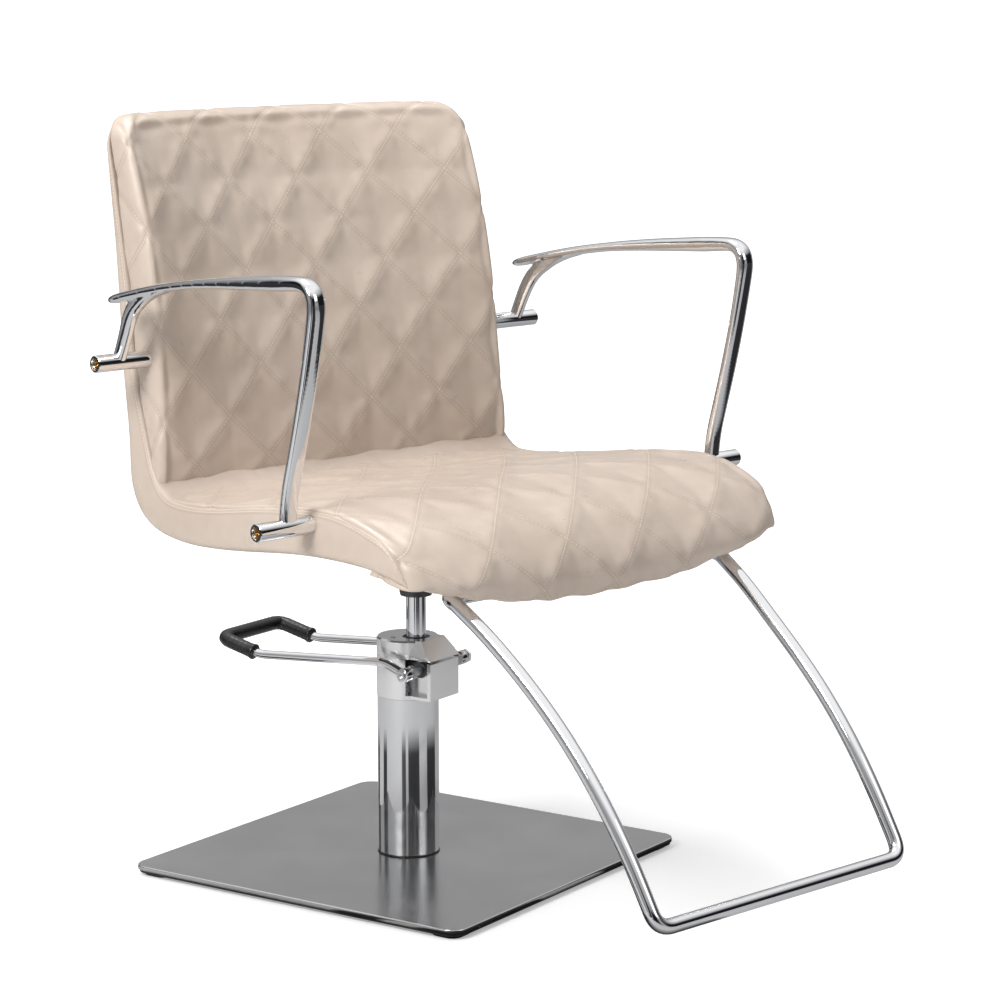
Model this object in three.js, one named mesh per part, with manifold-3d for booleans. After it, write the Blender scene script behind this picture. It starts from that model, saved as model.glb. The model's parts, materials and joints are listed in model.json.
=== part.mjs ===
// Hydraulic styling chair: square steel base, pump column with foot pedal,
// quilted S-shaped seat, two cast armrests and a tubular footrest.
// Millimetres, +Z up. The chair faces -Y. The origin is on the floor, on the ram's axis.
import * as THREE from "three";
import { mergeVertices } from "three/addons/utils/BufferGeometryUtils.js";
import Module from "manifold-3d";

const wasm = await Module();
wasm.setup();

// ---- Driving dimensions ----

const gap = 0.3; // clearance between pieces that touch

// base
const baseTurn = THREE.MathUtils.degToRad(12.5); // the base stands turned under the seat
const plateSide = 450;
const plateCorner = 20;
const padHeight = 4;
const slabHeight = 6.2;
const coverSheet = 1.5;
const coverSkirt = 5; // height of the cover's visible steel edge
const cornerPadSide = 36;
const cornerPadInset = 8;
const centrePadRadius = 60;

// pump
const columnRadius = 35;
const columnWall = 2;
const gasketHeight = 1.2;
const columnFootHeight = 16;
const headBottom = 196;
const headJoint = 243; // split between the pump head and its cap
const headTop = 264;
const headRadius = 35.6;
const boxHalfWidth = 27.5;
const boxFront = 51; // front face of the pump box, ahead of the column's axis
const capNoseFlat = 35; // where the cap's chamfer ends, ahead of the column's axis
const capNoseHalf = 22; // half-width of the flat at the top of the chamfer
const ramOffset = 11.7; // the ram stands ahead of the column's axis by this much
const ramRadius = 11.3;
const guideWall = 3.2;
const cylinderBore = 14.3;
const cylinderWall = 2;
const baseBoltRadius = 4;
const baseBoltCircle = 24;

// ram and piston heights, with the seat at rest
const ramFoot = 74;
const ramNutHeight = 4.6;
const pistonHeight = 14;
const journalRadius = 6.5;
const ramTop = 366;

// foot pedal
const pivotAhead = 35; // pedal shaft, ahead of the column's axis
const pivotHeight = 232;
const shaftRadius = 5;
const pedalHalf = 54; // half the distance between the pedal's two bars
const pedalRod = 5;
const sleeveRadius = 8.2;
const eyeRadius = 8;
const eyeLength = 12;
const pedalTip = 227; // end bar, behind the column's axis
const pedalTipHeight = 243;
const sleeveStart = 172;
const sleeveStartHeight = 230;

// pump plunger, driven by the crank on the pedal shaft
const plungerSide = 23; // to the left of the ram
const plungerAhead = 12;
const plungerRadius = 4;
const plungerFoot = 130;
const plungerCollar = 5.4;
const barrelRadius = 6.2;
const barrelFoot = 112;
const crankHub = 9;
const crankWidth = 6;
const crankHalfHeight = 4;
const pocketFloor = 201;
const springWire = 0.7;
const springTurns = 4;

// seat support
const socketFoot = 312;
const socketTop = 371;
const socketRadius = 22;
const seatTilt = THREE.MathUtils.degToRad(3.5); // the seat rises towards its front edge
const undersideHeight = 393.6; // underside of the seat, on the ram's axis
const seatPlateSide = 180;
const seatPlateSheet = 5;
const plateBoltReach = 70; // each bolt from the plate's centre, along and across
const plateBoltRadius = 4;
const undersideBoardSheet = 8;
const undersideBoardWidth = 400;
const boardRear = 84; // rear and front edge of the board, from the ram's axis
const boardAhead = 178;
const bendBehind = 98; // where the shell's bend runs into its flat underside

// upholstered shell
const backHalfWidth = 246;
const seatHalfCrease = 254; // seat half-width where it meets the back
const seatHalfMiddle = 275; // seat half-width at the front arm bosses
const seatFront = 318; // ahead of the ram's axis
const backTop = 856;
const creaseHeight = 452;
const coverSheetBack = 8; // padded rear cover
const shellSheet = 12; // bent plywood shell
const layerGap = 0.5; // between the curved layers of the shell
const shellHalfWidth = 232;
const crossBarRadius = 8;
const backHollow = 43; // the middle of the back lies this far behind its two sides
const hollowFoot = 420; // height where the hollow starts
const hollowHead = 790; // height where it reaches its full depth
const hollowStrips = 16; // flat strips across the hollow
const barBendOut = 205; // the rear cross bar runs straight from its end to here
const barBendIn = 150;
const barSetBack = 14; // its middle stands this far behind its ends

// arms
const armTipBehind = 157; // middle of the bar's rounded rear end
const armTipHeight = 655.5;
const bossRadius = 9.5;
const bossLength = 73;
const frontBossIn = seatHalfMiddle + 10; // inner end of the front boss, clear of the seat's side
const rearBossIn = backHalfWidth + 9.5;
const armOut = frontBossIn + 31.5; // middle of the arm casting
const armTipOut = armOut - 15.5;
const strutOut = rearBossIn + 41.5;
const strutLean = armOut - 10.5 - strutOut; // the strut leans outwards to meet the bar
const frontBossAhead = 158;
const frontBossHeight = 448.5;
const rearBossBehind = 151;
const rearBossHeight = 589;
const bossRecessRadius = 6.6;
const bossRecessDepth = 7;
const armScrewRadius = 4;
const armScrewHead = 6;
const armScrewGrip = 22; // thread inside the cross bar

// footrest
const footTube = 8;
const footHalfBottom = 185.4;
const footHalfTop = 198;
const footBottomAhead = 558.4;
const footBottomHeight = 86.5;
const footTopAhead = 262;
const footTopHeight = 385 - footTube; // under the seat's front lip
const footKneeHeight = 328 - footTube;
const footTubeEnd = 128; // inner end of each top run
const footPlugDepth = 8;
const bracketOut = 160;
const bracketWidth = 30;
const bracketSheet = 4;

// ---- Materials ----

const finish = (color, metalness, roughness) =>
  new THREE.MeshStandardMaterial({ color, metalness, roughness });
const chrome = () => finish(0xd9dadd, 1, 0.08);
const satinSteel = () => finish(0xb9babb, 1, 0.32);
const darkSteel = () => finish(0x3a3b3d, 0.9, 0.45);
const zinc = () => finish(0xa9abad, 1, 0.35);
const brass = () => finish(0xb08a4c, 1, 0.3);
const rubber = () => finish(0x111111, 0, 0.7);
const blackPaint = () => finish(0x18181a, 0, 0.55);
const plywood = () => finish(0xb98f5f, 0, 0.6);
const leather = () => finish(0xb8a696, 0, 0.42);

// ---- Geometry helpers ----

// A closed three.js geometry as a manifold solid.
function solid(geometry) {
  const plain = geometry.clone();
  plain.deleteAttribute("normal");
  plain.deleteAttribute("uv");
  const merged = mergeVertices(plain, 1e-4);
  return new wasm.Manifold(
    new wasm.Mesh({
      numProp: 3,
      vertProperties: merged.attributes.position.array,
      triVerts: new Uint32Array(merged.index.array),
    }),
  );
}

function geometryOf(manifold) {
  const mesh = manifold.getMesh();
  const geometry = new THREE.BufferGeometry();
  geometry.setAttribute("position", new THREE.BufferAttribute(mesh.vertProperties, 3));
  geometry.setIndex(new THREE.BufferAttribute(mesh.triVerts, 1));
  geometry.computeVertexNormals();
  return geometry;
}

const joined = (...pieces) => geometryOf(pieces.map(solid).reduce((a, b) => a.add(b)));
const cut = (piece, ...tools) =>
  geometryOf(tools.map(solid).reduce((a, b) => a.subtract(b), solid(piece)));
const common = (a, b) => geometryOf(solid(a).intersect(solid(b)));

// Upright cylinder from z low to z high.
function post(radius, low, high, sides = 24, topRadius = radius) {
  return new THREE.CylinderGeometry(topRadius, radius, high - low, sides)
    .rotateX(Math.PI / 2)
    .translate(0, 0, (low + high) / 2);
}

// Cylinder along X from x low to x high.
function bar(radius, low, high, sides = 16, rings = 1) {
  return new THREE.CylinderGeometry(radius, radius, high - low, sides, rings)
    .rotateZ(Math.PI / 2)
    .translate((low + high) / 2, 0, 0);
}

function block(xLow, xHigh, yLow, yHigh, zLow, zHigh) {
  return new THREE.BoxGeometry(xHigh - xLow, yHigh - yLow, zHigh - zLow)
    .translate((xLow + xHigh) / 2, (yLow + yHigh) / 2, (zLow + zHigh) / 2);
}

const at = (geometry, x, y, z) => geometry.translate(x, y, z);

// Upright ring: a closed rectangular profile turned about Z.
function ring(inner, outer, low, high, sides = 24) {
  const profile = [[inner, low], [outer, low], [outer, high], [inner, high], [inner, low]];
  return new THREE.LatheGeometry(profile.map(([r, z]) => new THREE.Vector2(r, z)), sides)
    .rotateX(Math.PI / 2);
}

// Rounded square slab between two heights.
function slab(side, corner, low, high) {
  const half = side / 2;
  const flat = half - corner;
  const outline = new THREE.Shape();
  outline.absarc(flat, flat, corner, 0, Math.PI / 2);
  outline.absarc(-flat, flat, corner, Math.PI / 2, Math.PI);
  outline.absarc(-flat, -flat, corner, Math.PI, 1.5 * Math.PI);
  outline.absarc(flat, -flat, corner, 1.5 * Math.PI, 2 * Math.PI);
  const options = { depth: high - low, bevelEnabled: false, curveSegments: 5 };
  return new THREE.ExtrudeGeometry(outline, options).translate(0, 0, low);
}

// A side outline given as [y, z] points, extruded across X between two planes.
function panel(points, xLow, xHigh, steps = 1) {
  const outline = new THREE.Shape(points.map(([y, z]) => new THREE.Vector2(y, z)));
  const options = { depth: xHigh - xLow, bevelEnabled: false, steps };
  return new THREE.ExtrudeGeometry(outline, options)
    .applyMatrix4(new THREE.Matrix4().makeBasis(
      new THREE.Vector3(0, 1, 0),
      new THREE.Vector3(0, 0, 1),
      new THREE.Vector3(1, 0, 0),
    ))
    .translate(xLow, 0, 0);
}

const curve = (points, tension = 0.5) =>
  new THREE.CatmullRomCurve3(points.map((p) => new THREE.Vector3(...p)), false, "centripetal", tension);

// A path with one section of the rod at each of its stops.
class Stops extends THREE.Curve {
  constructor(places) {
    super();
    this.places = places;
  }
  getPointAt(u) {
    return this.places[Math.round(u * (this.places.length - 1))].clone();
  }
  getTangentAt(u) {
    const i = Math.round(u * (this.places.length - 1));
    const tangent = new THREE.Vector3();
    if (i > 0) tangent.add(this.places[i].clone().sub(this.places[i - 1]).normalize());
    if (i < this.places.length - 1) tangent.add(this.places[i + 1].clone().sub(this.places[i]).normalize());
    return tangent.normalize();
  }
}

// Stops along a path of straight and bent stretches: the ends of each straight one, and several
// round each bend.
function stopsAlong(path, perBend = 3) {
  const places = [path.curves[0].getPoint(0)];
  for (const stretch of path.curves) {
    const count = stretch.isLineCurve3 ? 1 : stretch.isQuadraticBezierCurve3 ? perBend : 3 * perBend;
    places.push(...stretch.getPoints(count).slice(1));
  }
  return new Stops(places);
}

// Round rod along a path, capped at both ends.
function rod(stops, radius, sides = 8) {
  const section = new THREE.Shape();
  section.absarc(0, 0, radius, 0, 2 * Math.PI);
  const steps = stops.places.length - 1;
  return new THREE.ExtrudeGeometry(section, {
    steps,
    extrudePath: stops,
    curveSegments: sides / 2,
    bevelEnabled: false,
  });
}

// Oval bar along a curve that runs close to a YZ plane. reach(t) gives the half-width across X
// and the half-height square to the curve.
function ovalBar(path, reach, steps, sides = 8) {
  const shape = new THREE.CylinderGeometry(1, 1, 1, sides, steps);
  const places = shape.attributes.position;
  const across = new THREE.Vector3(1, 0, 0);
  for (let i = 0; i < places.count; i++) {
    const t = THREE.MathUtils.clamp(0.5 + places.getY(i), 0, 1);
    const centre = path.getPoint(t);
    const up = new THREE.Vector3().crossVectors(across, path.getTangent(t)).normalize();
    const [halfWidth, halfHeight] = reach(t);
    centre.addScaledVector(across, halfWidth * places.getX(i));
    centre.addScaledVector(up, halfHeight * places.getZ(i));
    places.setXYZ(i, centre.x, centre.y, centre.z);
  }
  return shape;
}

// Corner of a bent rod: the straight runs are joined by an arc of quadratic curves.
function bentPath(points, radius) {
  const path = new THREE.CurvePath();
  const corners = points.map((p) => new THREE.Vector3(...p));
  let from = corners[0];
  for (let i = 1; i < corners.length - 1; i++) {
    const back = corners[i - 1].clone().sub(corners[i]).setLength(radius).add(corners[i]);
    const on = corners[i + 1].clone().sub(corners[i]).setLength(radius).add(corners[i]);
    path.add(new THREE.LineCurve3(from, back));
    path.add(new THREE.QuadraticBezierCurve3(back, corners[i], on));
    from = on;
  }
  path.add(new THREE.LineCurve3(from, corners.at(-1)));
  return path;
}

const group = new THREE.Group();
group.name = "styling_chair";
const base = new THREE.Group();
base.position.set(-Math.sin(baseTurn) * ramOffset, Math.cos(baseTurn) * ramOffset, 0);
base.rotation.z = baseTurn;
const seat = new THREE.Group();
group.add(base, seat);

function add(parent, name, geometry, material) {
  const mesh = new THREE.Mesh(geometry, material);
  mesh.name = name;
  parent.add(mesh);
  return mesh;
}

// ---- Base: its own frame has the column's axis at x = 0, y = 0 and the pedal towards +y ----

const slabTop = padHeight + slabHeight;
const plateTop = slabTop + gap + coverSheet;
const coverInner = plateSide - 2 * coverSheet;
const footRadius = columnRadius - columnWall - 0.4;

function addBasePlate() {
  const shell = slab(plateSide, plateCorner, plateTop - coverSkirt, plateTop);
  const hollow = slab(coverInner, plateCorner - coverSheet, plateTop - coverSkirt - 1, slabTop + gap);
  const columnHole = post(footRadius + 0.4, slabTop, plateTop + 1);
  add(base, "base_cover", cut(shell, hollow, columnHole), satinSteel());

  const plate = slab(coverInner - 2 * gap, plateCorner - coverSheet - gap, padHeight, slabTop);
  const holes = baseBoltPlaces().flatMap(([x, y]) => [
    at(post(baseBoltRadius + 0.5, padHeight - 1, slabTop + 1, 14), x, y, 0),
    at(post(baseBoltRadius + 3.6, padHeight - 1, padHeight + 3.8, 14), x, y, 0),
  ]);
  add(base, "base_plate", cut(plate, ...holes), blackPaint());
}

function baseBoltPlaces() {
  return [90, 210, 330].map((angle) => {
    const turn = THREE.MathUtils.degToRad(angle);
    return [baseBoltCircle * Math.cos(turn), baseBoltCircle * Math.sin(turn)];
  });
}

function addFeet() {
  const out = plateSide / 2 - cornerPadInset - cornerPadSide / 2;
  const corners = { left_front: [-1, -1], right_front: [1, -1], left_rear: [-1, 1], right_rear: [1, 1] };
  for (const [name, [x, y]] of Object.entries(corners)) {
    const pad = slab(cornerPadSide, 12, 0, padHeight - gap);
    add(base, "foot_" + name, at(pad, x * out, y * out, 0), rubber());
  }
  add(base, "foot_centre", post(centrePadRadius, 0, padHeight - gap, 24), rubber());
}

function addColumn() {
  const low = plateTop + gap;
  add(base, "column_gasket", ring(footRadius + 0.4, columnRadius + 0.8, low, low + gasketHeight, 32), rubber());
  const tubeLow = low + gasketHeight + gap;
  const tube = ring(columnRadius - columnWall, columnRadius, tubeLow, headBottom - gap, 32);
  add(base, "column_tube", tube, chrome());

  const foot = post(footRadius, slabTop + gap, slabTop + gap + columnFootHeight, 24);
  const threads = baseBoltPlaces().map(([x, y]) =>
    at(post(baseBoltRadius + 0.3, slabTop - 1, slabTop + 13, 14), x, y, 0));
  add(base, "column_foot", cut(foot, ...threads), darkSteel());

  baseBoltPlaces().forEach(([x, y], i) => {
    const head = post(baseBoltRadius + 3, padHeight + gap, padHeight + 3.5, 14);
    const shank = post(baseBoltRadius, padHeight + 3.4, slabTop + 11, 14);
    add(base, "base_bolt_" + (i + 1), at(joined(head, shank), x, y, 0), zinc());
  });

  const cylinderLow = slabTop + gap + columnFootHeight + gap;
  const cylinder = ring(cylinderBore, cylinderBore + cylinderWall, cylinderLow, headBottom - gap, 24);
  add(base, "ram_cylinder", at(cylinder, 0, -ramOffset, 0), darkSteel());

  const barrel = post(barrelRadius, barrelFoot, headBottom - gap, 14);
  const barrelBore = post(plungerRadius + 0.3, barrelFoot + 4, headBottom, 14);
  const inlet = post(1.5, barrelFoot - 1, barrelFoot + 5, 12);
  add(base, "plunger_barrel", at(cut(barrel, barrelBore, inlet), -plungerSide, -plungerAhead, 0), darkSteel());
}

// The pump head: a round casting over the column with a box ahead of it. Its left side is open
// where the crank on the pedal shaft works.
function addHead() {
  const body = joined(
    post(headRadius, headBottom, headJoint, 32),
    block(-boxHalfWidth, boxHalfWidth, -boxFront, 0, headBottom + 1.6, headJoint - 3),
  );
  const pocketLeft = plungerSide + plungerCollar + 0.8;
  const pocketRight = plungerSide - plungerCollar - 0.8;
  const pocketRear = 3 + crankHalfHeight + 1 - plungerAhead; // clear of the crank's rounded tip
  const pocket = block(-pocketLeft, -pocketRight, -boxFront + 5, pocketRear, pocketFloor, headJoint + 1);
  const opening = block(-headRadius - 5, -pocketRight, -boxFront + 10, -18, pocketFloor, headJoint + 1);
  const guideHole = at(post(ramRadius + guideWall + gap, headBottom - 1, headJoint + 1, 24), 0, -ramOffset, 0);
  const shaftHole = at(bar(shaftRadius + 0.3, -boxHalfWidth, boxHalfWidth + 5), 0, -pivotAhead, pivotHeight);
  const plungerHole = at(post(plungerRadius + 0.3, headBottom - 1, pocketFloor + 1, 14),
    -plungerSide, -plungerAhead, 0);
  add(base, "pump_head", cut(body, pocket, opening, guideHole, shaftHole, plungerHole), chrome());

  const guide = ring(ramRadius + 0.25, ramRadius + guideWall, headBottom + gap, headJoint - gap, 24);
  add(base, "ram_guide", at(guide, 0, -ramOffset, 0), brass());
}

// The cap over the pump head, chamfered down to the box's front face.
function addCap() {
  const low = headJoint + gap;
  const side = [[-boxFront, low], [-capNoseFlat, headTop], [0, headTop], [0, low]];
  const nose = panel(side, -boxHalfWidth, boxHalfWidth);
  const front = new THREE.Shape([
    [-boxHalfWidth, low],
    [boxHalfWidth, low],
    [boxHalfWidth, low + 7],
    [capNoseHalf, headTop],
    [-capNoseHalf, headTop],
    [-boxHalfWidth, low + 7],
  ].map(([x, z]) => new THREE.Vector2(x, z)));
  const frontBlock = new THREE.ExtrudeGeometry(front, { depth: boxFront + 5, bevelEnabled: false })
    .rotateX(Math.PI / 2)
    .translate(0, 5, 0);
  const crown = joined(
    post(headRadius, low, headTop - 2, 32),
    post(headRadius, headTop - 2.1, headTop, 32, headRadius - 1.5),
  );
  const whole = joined(common(nose, frontBlock), crown);
  const ramHole = at(post(ramRadius + 0.9, low - 1, headTop + 1, 24), 0, -ramOffset, 0);
  const recess = at(post(ramRadius + guideWall + 1.2, headTop - 6, headTop + 1, 24), 0, -ramOffset, 0);
  const screwHole = at(post(3, headTop - 9, headTop + 1, 14), -20, 6, 0);
  add(base, "head_cap", cut(whole, ramHole, recess, screwHole), chrome());

  const wiper = ring(ramRadius + 0.25, ramRadius + guideWall + 0.8, headTop - 5.7, headTop - 1.4, 24);
  add(base, "ram_wiper", at(wiper, 0, -ramOffset, 0), rubber());
  const screw = cut(post(2.7, headTop - 8.6, headTop + 0.6, 14), post(1.3, headTop - 1.6, headTop + 2, 6));
  add(base, "cap_screw", at(screw, -20, 6, 0), zinc());
}

// ---- Pedal, crank and plunger ----

function addPedal() {
  const eyeAhead = -pivotAhead;
  const left = [
    [-pedalHalf, eyeAhead, pivotHeight],
    [-pedalHalf, -7, pivotHeight + 11],
    [-pedalHalf, 5, pivotHeight + 10.5],
    [-pedalHalf, sleeveStart, sleeveStartHeight],
    [-pedalHalf, pedalTip, pedalTipHeight],
  ];
  const right = left.map(([x, y, z]) => [-x, y, z]).reverse();
  const eyes = [-1, 1].map((side) =>
    at(bar(eyeRadius, -eyeLength / 2, eyeLength / 2, 14), side * pedalHalf, eyeAhead, pivotHeight));
  const shaftHoles = bar(shaftRadius + gap, -pedalHalf - 20, pedalHalf + 20, 18);
  const loop = rod(stopsAlong(bentPath([...left, ...right], 11)), pedalRod);
  add(base, "pedal_rod", cut(joined(loop, ...eyes), at(shaftHoles, 0, eyeAhead, pivotHeight)), chrome());

  // The grip covers the end bar and the sloping runs beside it.
  const along = (t) => [
    sleeveStart + t * (pedalTip - sleeveStart),
    sleeveStartHeight + t * (pedalTipHeight - sleeveStartHeight),
  ];
  const [startBehind, startHeight] = along(0.1);
  const gripRoute = bentPath([
    [-pedalHalf, startBehind, startHeight],
    [-pedalHalf, pedalTip, pedalTipHeight],
    [pedalHalf, pedalTip, pedalTipHeight],
    [pedalHalf, startBehind, startHeight],
  ], 11);
  const grip = rod(stopsAlong(gripRoute), sleeveRadius, 10);
  const core = rod(stopsAlong(bentPath([...left, ...right], 11)), pedalRod + gap);
  add(base, "pedal_grip", cut(grip, core), rubber());

  const shaft = bar(shaftRadius, -pedalHalf - 9, pedalHalf + 9, 18);
  const socket = new THREE.CylinderGeometry(2.6, 2.6, 8, 6).rotateZ(Math.PI / 2)
    .translate(-pedalHalf - 9, 0, 0);
  add(base, "pedal_shaft", at(cut(shaft, socket), 0, eyeAhead, pivotHeight), zinc());

  for (const [name, side] of [["left", -1], ["right", 1]]) {
    const nut = new THREE.CylinderGeometry(9, 9, 6, 6).rotateZ(Math.PI / 2);
    const hole = bar(shaftRadius + gap, -5, 5, 18);
    const outer = pedalHalf - eyeLength / 2 - 4;
    add(base, "shaft_nut_" + name, at(cut(nut, hole), side * outer, eyeAhead, pivotHeight), zinc());
  }
  const capNut = joined(
    new THREE.CylinderGeometry(8.5, 8.5, 4, 6).rotateZ(Math.PI / 2),
    at(new THREE.SphereGeometry(6.8, 12, 8), 1.6, 0, 0),
  );
  const capHole = bar(shaftRadius + gap, -10, 4.4, 18);
  add(base, "shaft_cap", at(cut(capNut, capHole), pedalHalf + eyeLength / 2 + 3, eyeAhead, pivotHeight), chrome());
}

function addCrank() {
  const hub = bar(crankHub, -crankWidth / 2, crankWidth / 2, 18);
  const reach = pivotAhead - plungerAhead + 3;
  const finger = joined(
    block(-crankWidth / 2, crankWidth / 2, 0, reach, -crankHalfHeight, crankHalfHeight),
    at(bar(crankHalfHeight, -crankWidth / 2, crankWidth / 2, 14), 0, reach, 0),
  );
  const hole = bar(shaftRadius + gap, -crankWidth, crankWidth, 18);
  add(base, "pump_crank", at(cut(joined(hub, finger), hole), -plungerSide, -pivotAhead, pivotHeight), darkSteel());
}

function addPlunger() {
  const top = pivotHeight - crankHalfHeight - 0.4;
  const collarTop = top - 6;
  const shape = joined(
    post(plungerRadius, plungerFoot, top - 1, 14),
    post(plungerRadius, top - 1.1, top, 20, plungerRadius - 1.5),
    post(plungerCollar, collarTop - 2, collarTop, 18),
  );
  add(base, "plunger", at(shape, -plungerSide, -plungerAhead, 0), zinc());

  const springLow = pocketFloor + gap + springWire;
  const springHigh = collarTop - 2 - gap - springWire;
  const coil = [];
  const perTurn = 8;
  for (let i = 0; i <= springTurns * perTurn; i++) {
    const turn = (i / perTurn) * 2 * Math.PI;
    const radius = (plungerRadius + 0.1 + springWire) / Math.cos(Math.PI / perTurn);
    const height = springLow + ((springHigh - springLow) * i) / (springTurns * perTurn);
    coil.push([radius * Math.cos(turn), radius * Math.sin(turn), height]);
  }
  const spring = rod(new Stops(coil.map((p) => new THREE.Vector3(...p))), springWire, 6);
  add(base, "plunger_spring", at(spring, -plungerSide, -plungerAhead, 0), zinc());
}

// ---- Ram, piston and seat support ----

const pistonLow = ramFoot + ramNutHeight + gap;
const pistonHigh = pistonLow + pistonHeight;

function addRam() {
  const shape = joined(
    post(ramRadius, pistonHigh + gap, ramTop, 24),
    post(journalRadius, ramFoot, pistonHigh + 1, 18),
  );
  add(seat, "ram", shape, chrome());
  const nut = new THREE.CylinderGeometry(11, 11, ramNutHeight, 6).rotateX(Math.PI / 2)
    .translate(0, 0, ramFoot + ramNutHeight / 2);
  const hole = post(journalRadius + gap, ramFoot - 1, ramFoot + ramNutHeight + 1, 18);
  add(seat, "ram_nut", cut(nut, hole), zinc());

  const piston = ring(journalRadius + 0.3, cylinderBore - 0.3, pistonLow, pistonHigh, 24);
  const groove = ring(cylinderBore - 3, cylinderBore + 2, pistonLow + 4, pistonLow + 10, 24);
  add(seat, "piston_head", cut(piston, groove), darkSteel());
  add(seat, "piston_seal", ring(cylinderBore - 2.7, cylinderBore - 0.15, pistonLow + 4.3, pistonLow + 9.7, 24),
    rubber());
}

// Pieces fixed to the underside of the seat share its slight tilt.
const underside = new THREE.Group();
underside.position.set(0, 0, undersideHeight);
underside.rotation.x = -seatTilt;
seat.add(underside);

function plateBoltPlaces() {
  return [[-1, -1], [1, -1], [-1, 1], [1, 1]].map(([x, y]) => [x * plateBoltReach, y * plateBoltReach]);
}

function addSeatSupport() {
  const plateLow = -gap - seatPlateSheet;
  const socket = joined(
    post(socketRadius - 4, socketFoot, socketFoot + 22, 24, socketRadius),
    post(socketRadius, socketFoot + 21.9, socketTop, 24, socketRadius + 4),
    post(socketRadius + 4, socketTop - 0.1, undersideHeight, 24, socketRadius + 9),
  );
  const bore = post(ramRadius + 0.2, socketFoot - 1, ramTop + gap, 24);
  const above = block(-60, 60, -60, 60, plateLow - gap, 60)
    .rotateX(-seatTilt)
    .translate(0, 0, undersideHeight);
  const screwHole = at(bar(4.3, -60, 0, 14), 0, 0, socketFoot + 12);
  add(seat, "seat_socket", cut(socket, bore, above, screwHole), darkSteel());
  const screw = cut(bar(4, -socketRadius + 1, -ramRadius - gap, 14), bar(2, -60, -socketRadius + 5, 6));
  add(seat, "clamp_screw", at(screw, 0, 0, socketFoot + 12), zinc());

  const holes = plateBoltPlaces().map(([x, y]) => at(post(plateBoltRadius + 0.3, -20, 20, 14), x, y, 0));
  const plate = slab(seatPlateSide, 14, plateLow, -gap);
  add(underside, "seat_plate", cut(plate, ...holes), darkSteel());
  plateBoltPlaces().forEach(([x, y], i) => {
    const head = new THREE.CylinderGeometry(7.5, 7.5, 5, 6).rotateX(Math.PI / 2)
      .translate(0, 0, plateLow - gap - 2.5);
    const shank = post(plateBoltRadius, plateLow - gap - 1, undersideBoardSheet - 1, 14);
    add(underside, "plate_bolt_" + (i + 1), at(joined(head, shank), x, y, 0), zinc());
  });

  const board = block(
    -undersideBoardWidth / 2, undersideBoardWidth / 2,
    -boardAhead, boardRear,
    0, undersideBoardSheet,
  );
  const boltHoles = plateBoltPlaces().map(([x, y]) => at(post(plateBoltRadius + 0.3, -20, 20, 14), x, y, 0));
  const bracketHoles = [-1, 1].map((side) => at(post(3.3, -20, 20, 14), side * bracketOut, -150, 0));
  add(underside, "underside_board", cut(board, ...boltHoles, ...bracketHoles), blackPaint());
}

// ---- Upholstered shell: side outlines as [y, z] ----

// Rear and underside of the shell, from the top edge down the back, round the bend and forwards.
const outerLine = new THREE.CurvePath();
const undersideAt = (y) => undersideHeight - y * Math.tan(seatTilt);
const bendFoot = [bendBehind, undersideAt(bendBehind)];
const boardFront = [-boardAhead - 2, undersideAt(-boardAhead - 2)];
const flat2 = ([y, z]) => new THREE.Vector2(y, z);
outerLine.add(new THREE.SplineCurve([
  [222, backTop - 6],
  [218, 781],
  [211, 715],
  [205, 649],
  [200, 583],
  [194, 530],
  [188, 484],
  [176, 437],
  [146, 402],
  [120, 390.5],
  bendFoot,
].map(flat2)));
outerLine.add(new THREE.LineCurve(flat2(bendFoot), flat2(boardFront)));
outerLine.add(new THREE.SplineCurve([boardFront, [-225, 407], [-262, 400], [-285, 392]].map(flat2)));

// Stations along the outer line, numbered from the top edge. Every layer of the shell is drawn on
// the same stations, so the layers stay parallel.
const stations = 46;
const bendStation = Math.floor((stations * outerLine.getCurveLengths()[0]) / outerLine.getLength());
const shellEnd = stations - 2;
let creaseStation = 0;
while (outerLine.getPointAt(creaseStation / stations).y > creaseHeight - 8) creaseStation++;

// The outer line moved inwards by a distance, between two stations.
function inwards(distance, first, last) {
  const points = [];
  for (let i = first; i <= last; i++) {
    const place = outerLine.getPointAt(i / stations);
    const along = outerLine.getTangentAt(i / stations);
    points.push([place.x + along.y * distance, place.y - along.x * distance]);
  }
  return points;
}

// A panel of the back, hollowed in plan. Every layer is split on the same strips, so that the
// layers stay parallel.
function hollowPanel(points, half) {
  const geometry = panel(points, -backHalfWidth, backHalfWidth, hollowStrips);
  const places = geometry.attributes.position;
  for (let i = 0; i < places.count; i++) {
    const share = places.getX(i) / backHalfWidth;
    const reach = Math.min(Math.abs(share), half / backHalfWidth);
    const depth = backHollow * THREE.MathUtils.smoothstep(places.getZ(i), hollowFoot, hollowHead);
    places.setX(i, Math.sign(share) * reach * backHalfWidth);
    places.setY(i, places.getY(i) + depth * hollowShare(reach));
  }
  return geometry;
}

// Depth of the hollow as a share, flat within each strip.
function hollowShare(reach) {
  const strip = 2 / hollowStrips;
  const low = Math.floor(reach / strip + 1e-6) * strip;
  const inner = 1 - low * low;
  const outer = 1 - (low + strip) * (low + strip);
  return inner + ((outer - inner) * (reach - low)) / strip;
}

function addShell() {
  const rear = [...inwards(0, 0, bendStation), ...inwards(coverSheetBack, 0, bendStation).reverse()];
  add(seat, "back_cover", hollowPanel(rear, backHalfWidth), leather());

  const low = coverSheetBack + layerGap;
  const shell = [...inwards(low, 1, shellEnd), ...inwards(low + shellSheet, 1, shellEnd).reverse()];
  add(seat, "shell_board", hollowPanel(shell, shellHalfWidth), plywood());
}

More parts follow.
